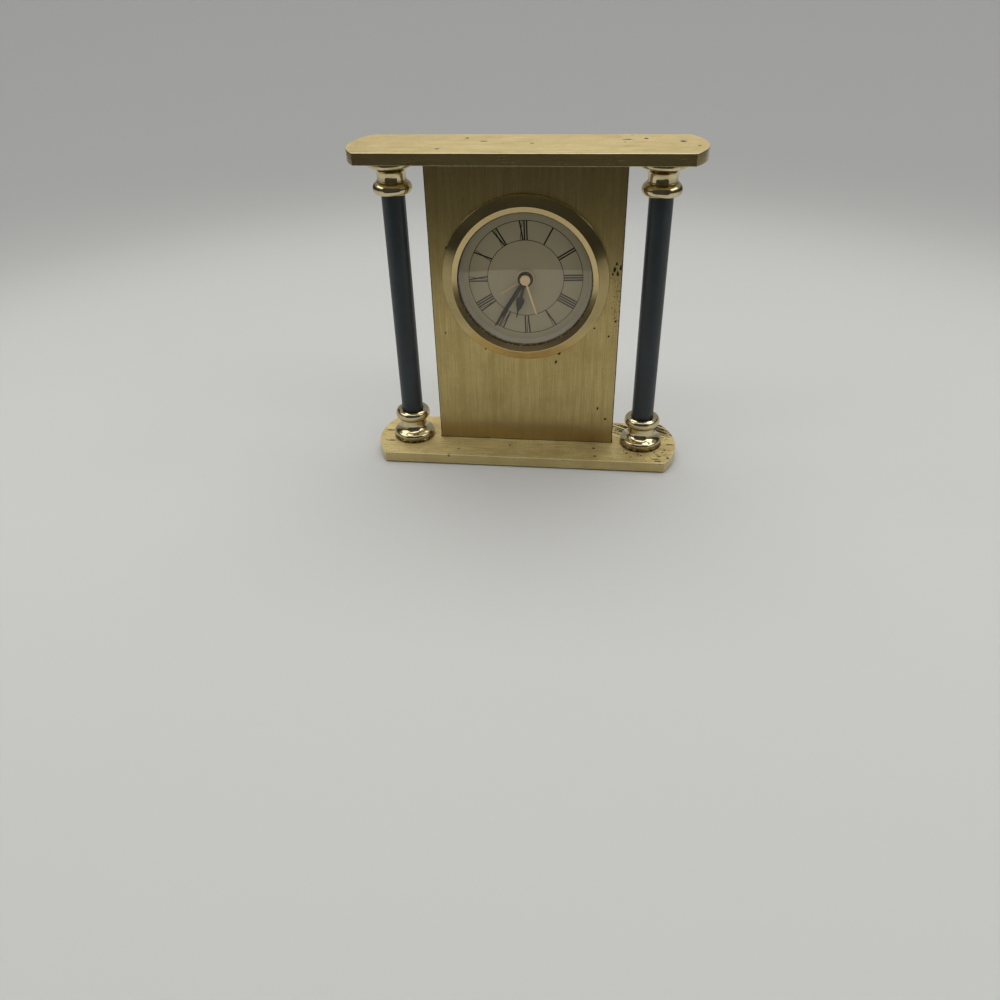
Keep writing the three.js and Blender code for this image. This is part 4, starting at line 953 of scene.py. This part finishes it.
def fluted_knob(x, z, radius=4.2, front=19.55, back=22.15, flutes=18, bite=0.35, dish=0.45, rim=0.9):
    """Turned knob whose wall dips in flutes: radius - bite * (1 - cos(flutes * a)) / 2.

    A dished end is turned into the back inside a rim, where the flutes have died out.
    """
    profile, bend = rounded([(1.0, front), (radius, front), (radius, back), (radius - rim, back),
                             (radius - 1.3, back - dish), (1.0, back - dish)], 0.22, closed=False)
    a = circle(216)
    wall = np.clip((profile[:, :1] - radius + rim) / rim, 0, 1)
    r = profile[:, :1] - wall * bite * (1 - np.cos(flutes * a)) / 2
    return shell(xyz(x + r * np.sin(a), profile[:, 1:] - PANEL_FACE, z + r * np.cos(a)), bend)


grip = [(34.75, 0.4), (35.2, 0.4), (35.5, 0.9), (35.2, 1.4), (35.2, 1.8), (35.5, 2.3), (35.2, 2.8),
        (34.75, 2.8)]
grip, grip_bend = rounded(grip, 0.15)
add_piece("rubber_grip", "stand", [shell(facing(grip), grip_bend, True)], "rubber", ["grip_ring"])
TIME_KNOB, ALARM_KNOB, SWITCH = (-11.834, 91.5765), (9.24, DIAL_Z), (-2.0, 117.2)
DOOR_Z, DOOR_HALF_X, DOOR_HALF_Z, RIBS = 79.2, 23.65, 6.55, 4
add_piece("time_knob", "time_set", [fluted_knob(*TIME_KNOB)], "black_plastic", ["time_set_knob"])
add_piece("alarm_knob", "alarm_set", [fluted_knob(*ALARM_KNOB)], "black_plastic", ["alarm_set_knob"])
rib_heights = np.linspace(DOOR_Z + DOOR_HALF_Z, DOOR_Z - DOOR_HALF_Z, RIBS + 2)[1:-1]
ribs = [slab(0.0, z, 7.88, 0.6, 20.3, 21.1, corner=0.55, edge=0.2) for z in rib_heights]
add_piece("sliding_door", "battery_door",
          [slab(0.0, DOOR_Z, DOOR_HALF_X, DOOR_HALF_Z, 19.3, 20.5), *ribs], "black_plastic",
          ["battery_door"])
grips = [slab(SWITCH[0] + shift, SWITCH[1], 0.35, 2.4, 20.4, 21.1, corner=0.3, edge=0.15)
         for shift in (-1.8, -0.6, 0.6, 1.8)]
button, peg = slab(*SWITCH, 3.5, 3.0, 19.5, 20.75), slab(*SWITCH, 1.4, 1.4, 16.6, 19.6)
add_piece("switch_button", "alarm_switch", [button, *grips, peg], "black_plastic", ["alarm_switch"])

# %% [markdown]
# ## Case screws
# Three cross-head screws hold the case. The recess is a cross, and a cross can be written as a radius
# that depends on the angle, so rings can shrink from the round head to the cross and then go down.

# %% Screws
def cross_screw(x, z, head=1.9, back=19.2, tip=4.3, shank=1.1, arm=1.2, half=0.28):
    """Screw with a cross recess; it runs forward from its flush head to its tip.

    With the angle folded to the nearest arm, the cross's edge lies at arm / cos a while inside the
    arm's width, and at half width / |sin a| beyond it.
    """
    a = circle(144)
    folded = (a + np.pi / 4) % (np.pi / 2) - np.pi / 4
    inside = np.abs(np.sin(folded)) * arm < half * np.cos(folded)
    slim = half / np.maximum(np.abs(np.sin(folded)), 1e-6)
    cross = np.where(inside, arm / np.cos(folded), slim)
    body, body_bend = rounded([(0.5, tip), (shank, tip), (shank, back - 1.0), (head, back - 1.0),
                               (head, back), (head - 0.6, back)], 0.15, closed=False)
    radii = np.concatenate([body[:, :1] + 0 * a, [cross, cross * 0.75]])
    depth = np.concatenate([body[:, 1], [back, back - 0.7]])[:, None]
    rings = xyz(x + radii * np.cos(a), depth - PANEL_FACE, z + radii * np.sin(a))
    return shell(rings, np.concatenate([body_bend, [0.0, -1.0]]))


SCREW_CIRCLE = 30.3
for number, degrees in enumerate((60, 180, 300), start=1):
    turn = math.radians(degrees)
    screw = cross_screw(SCREW_CIRCLE * math.cos(turn), DIAL_Z + SCREW_CIRCLE * math.sin(turn))
    add_piece(f"cross_screw_{number}", "stand", [screw], "steel", [f"case_screw_{number}"])

# %% [markdown]
# ## Felt under the base
# A sheet of felt is glued under the base so that the brass doesn't scratch a desk. It follows the
# base's outline, a little drawn in, and its cut edge wavers by a tenth of a millimetre. It lies
# flat, so no cloth simulation is needed.

# %% Felt
FELT_INSET, FELT_BAND, FELT_HIGH, WAVER = 1.2, 4.0, 0.78, 0.0012
chain, bend = rounded([(FELT_BAND, 0.0), (FELT_INSET, 0.0), (FELT_INSET, FELT_HIGH),
                       (FELT_BAND, FELT_HIGH)], 0.2, closed=False)
x, y = plate_loops(chain[:, 0])
step = np.arange(x.shape[1])
waver = 1 - WAVER * (1 + np.sin(step * 2.4) * np.cos(step * 0.7))
rings = xyz(x * waver, y * waver, chain[:, 1:])
felt = add_piece("felt_sheet", "stand", [shell(rings, bend)], "felt", ["felt_pad"])

# %% [markdown]
# ## Works inside the case
# Wheels, motor, board, battery and the clamping rods keep their solids: their shapes are right, and
# they only need finishes. Assigning to a solid's material slot changes nothing else about it.

# %% Finishes for the works
WORKS = {
    "steel": ["tie_rod_left", "tie_rod_right", "tie_washer_left", "tie_washer_right",
              "tie_nut_left", "tie_nut_right", "stator", "quartz_crystal", "battery_contact_plus",
              "battery_contact_minus", "second_wheel"],
    "white_plastic": ["intermediate_wheel", "third_wheel", "centre_wheel", "reverse_wheel",
                      "hour_wheel", "alarm_wheel", "rotor", "time_set_shaft", "alarm_set_shaft"],
    "black_plastic": ["front_plate", "control_chip"],
    "copper": ["motor_coil"],
    "board_green": ["circuit_board"],
    "cell_sleeve": ["battery"],
    "satin_brass_top": ["buzzer", "alarm_contact"],
}
for finish, nodes in WORKS.items():
    for node in nodes:
        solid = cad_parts[node].data
        solid.materials.clear()
        solid.materials.append(finishes[finish])
print("solids kept:", sum(map(len, WORKS.values())))

# %% [markdown]
# ## Stage
# The clock stands in a pale round cove: a flat floor that curves up into a wall, one profile carried
# round the upright axis. Its colour is painted white where the clock stands and grey further off,
# a painted pool of light. Polished metal shows whatever stands in front of it, so photographers
# hang a dark card there. This one is tall in front and runs on to both sides as a band. It is
# hidden from the camera and throws no shadow: it only darkens reflections.

# %% Cove and card
LIGHT_POOL_CENTRE, LIGHT_POOL_START, LIGHT_POOL_END = (0.0, -0.1, 0.0), 0.42, 0.8


def stage_piece(name, mesh, near, far):
    """Stage object whose colour fades from near to far with the distance, a painted pool of light, and
    drifts faintly.
    """
    tree, shader, place = start_finish(name)
    away = vectors(tree, "DISTANCE", place, LIGHT_POOL_CENTRE)
    # Painted pool of light: lighter near the clock, greyer further off.
    light_pool = span(tree, away, LIGHT_POOL_START, LIGHT_POOL_END, ease="SMOOTHSTEP")
    drift = span(tree, noise(tree, place, 3.0, 3.0), 0.3, 0.7, 0.0, 0.05)
    colour = tint(tree, drift, tint(tree, light_pool, near, far), far)
    plug(tree, shader, {"Base Color": colour, "Roughness": 0.7})
    mesh.materials.append(finishes[name])
    piece = bpy.data.objects.new(name, mesh)
    bpy.context.scene.collection.objects.link(piece)
    return piece


COVE_FLOOR, COVE_CURVE, COVE_HEIGHT = 0.55, 0.5, 1.7
arc = np.radians(np.linspace(0, 90, 24))
cove_line = np.concatenate([
    [(0.05, 0.0)],
    np.stack([COVE_FLOOR + COVE_CURVE * np.sin(arc), COVE_CURVE * (1 - np.cos(arc))], axis=-1),
    [(COVE_FLOOR + COVE_CURVE, COVE_HEIGHT)]])
points, corners, sizes, _ = shell(upright(cove_line, 0.0))
stage_piece("pale_cove", fill("pale_cove", points, corners[:-AROUND], sizes[:-1]),
            (0.63, 0.63, 0.605), (0.45, 0.45, 0.44))
CARD_RADIUS, CARD_FACES = 0.3, 72
swing = np.linspace(-135, 135, CARD_FACES + 1)
card_low = np.interp(np.abs(swing), [44, 54], [0.0, 0.1])
card_high = np.interp(np.abs(swing), [40, 60], [0.66, 0.2])
ahead, aside = -CARD_RADIUS * np.cos(np.radians(swing)), CARD_RADIUS * np.sin(np.radians(swing))
card_points = np.concatenate([xyz(aside, ahead, z) for z in (card_low, card_high)])
first = np.arange(CARD_FACES)[:, None]
card_corners = (first + [0, 1, CARD_FACES + 2, CARD_FACES + 1]).ravel()
card = stage_piece("dark_card", fill("dark_card", card_points, card_corners, np.full(CARD_FACES, 4)),
                   (0.055, 0.055, 0.053), (0.03, 0.03, 0.03))
card.visible_camera = card.visible_shadow = card.visible_diffuse = False
print("cove radius:", COVE_FLOOR + COVE_CURVE, "card radius:", CARD_RADIUS)

# %% [markdown]
# ## Light
# A broad lamp hangs over the clock and a little behind it. Two smaller ones stand to the sides and
# a narrow one in front, above the card. They lift the shadows, light the dial, and give the turned
# brass the bright window shapes that make it look polished.


# %% Lamps and world
def lamp(name, place, size, watts):
    """Soft lamp turned to look at the middle of the clock."""
    data = bpy.data.lights.new(name, "AREA")
    data.shape, data.size, data.size_y, data.energy = "RECTANGLE", *size, watts
    made = bpy.data.objects.new(name, data)
    aim = LAMP_AIM - Vector(place)
    made.matrix_world = Matrix.Translation(place) @ aim.to_track_quat("-Z", "Y").to_matrix().to_4x4()
    bpy.context.scene.collection.objects.link(made)


LAMP_AIM = Vector((0.0, 0.0, 0.08))
lamp("overhead", (0.0, 0.4, 1.25), (1.2, 0.9), 7.4)
lamp("front", (0.0, -0.3, 0.85), (0.75, 0.2), 0.8)
for side, x in (("left", -0.54), ("right", 0.54)):
    lamp(f"{side}_window", (x, -0.1, 0.58), (0.56, 0.4), 1.2)
world = bpy.data.worlds.new("studio")
world.use_nodes = True
bpy.context.scene.world = world
world.node_tree.nodes["Background"].inputs["Color"].default_value = (0.35, 0.35, 0.35, 1.0)
bpy.context.scene.view_settings.view_transform = "Standard"

# %% [markdown]
# ## Camera
# The photograph was taken from above the clock and a little to its right. Lens, place and turn were
# worked out from the clock's own corners, so the camera only has to be typed in: it starts looking
# straight down, is rolled, tipped up and then swung round.

# %% Camera
LENS, SENSOR = 29.2386, 36.0
PLACE, SWING_ANGLE, TIP, ROLL = (0.034512, -0.383258, 0.228687), 7.382, 55.596, -1.494
camera = bpy.data.objects.new("camera", bpy.data.cameras.new("camera"))
bpy.context.scene.collection.objects.link(camera)
camera.data.lens, camera.data.sensor_width = LENS, SENSOR
camera.matrix_world = (Matrix.Translation(PLACE) @ Matrix.Rotation(math.radians(SWING_ANGLE), 4, "Z")
                       @ Matrix.Rotation(math.radians(TIP), 4, "X")
                       @ Matrix.Rotation(math.radians(ROLL), 4, "Z"))
bpy.context.scene.camera = camera
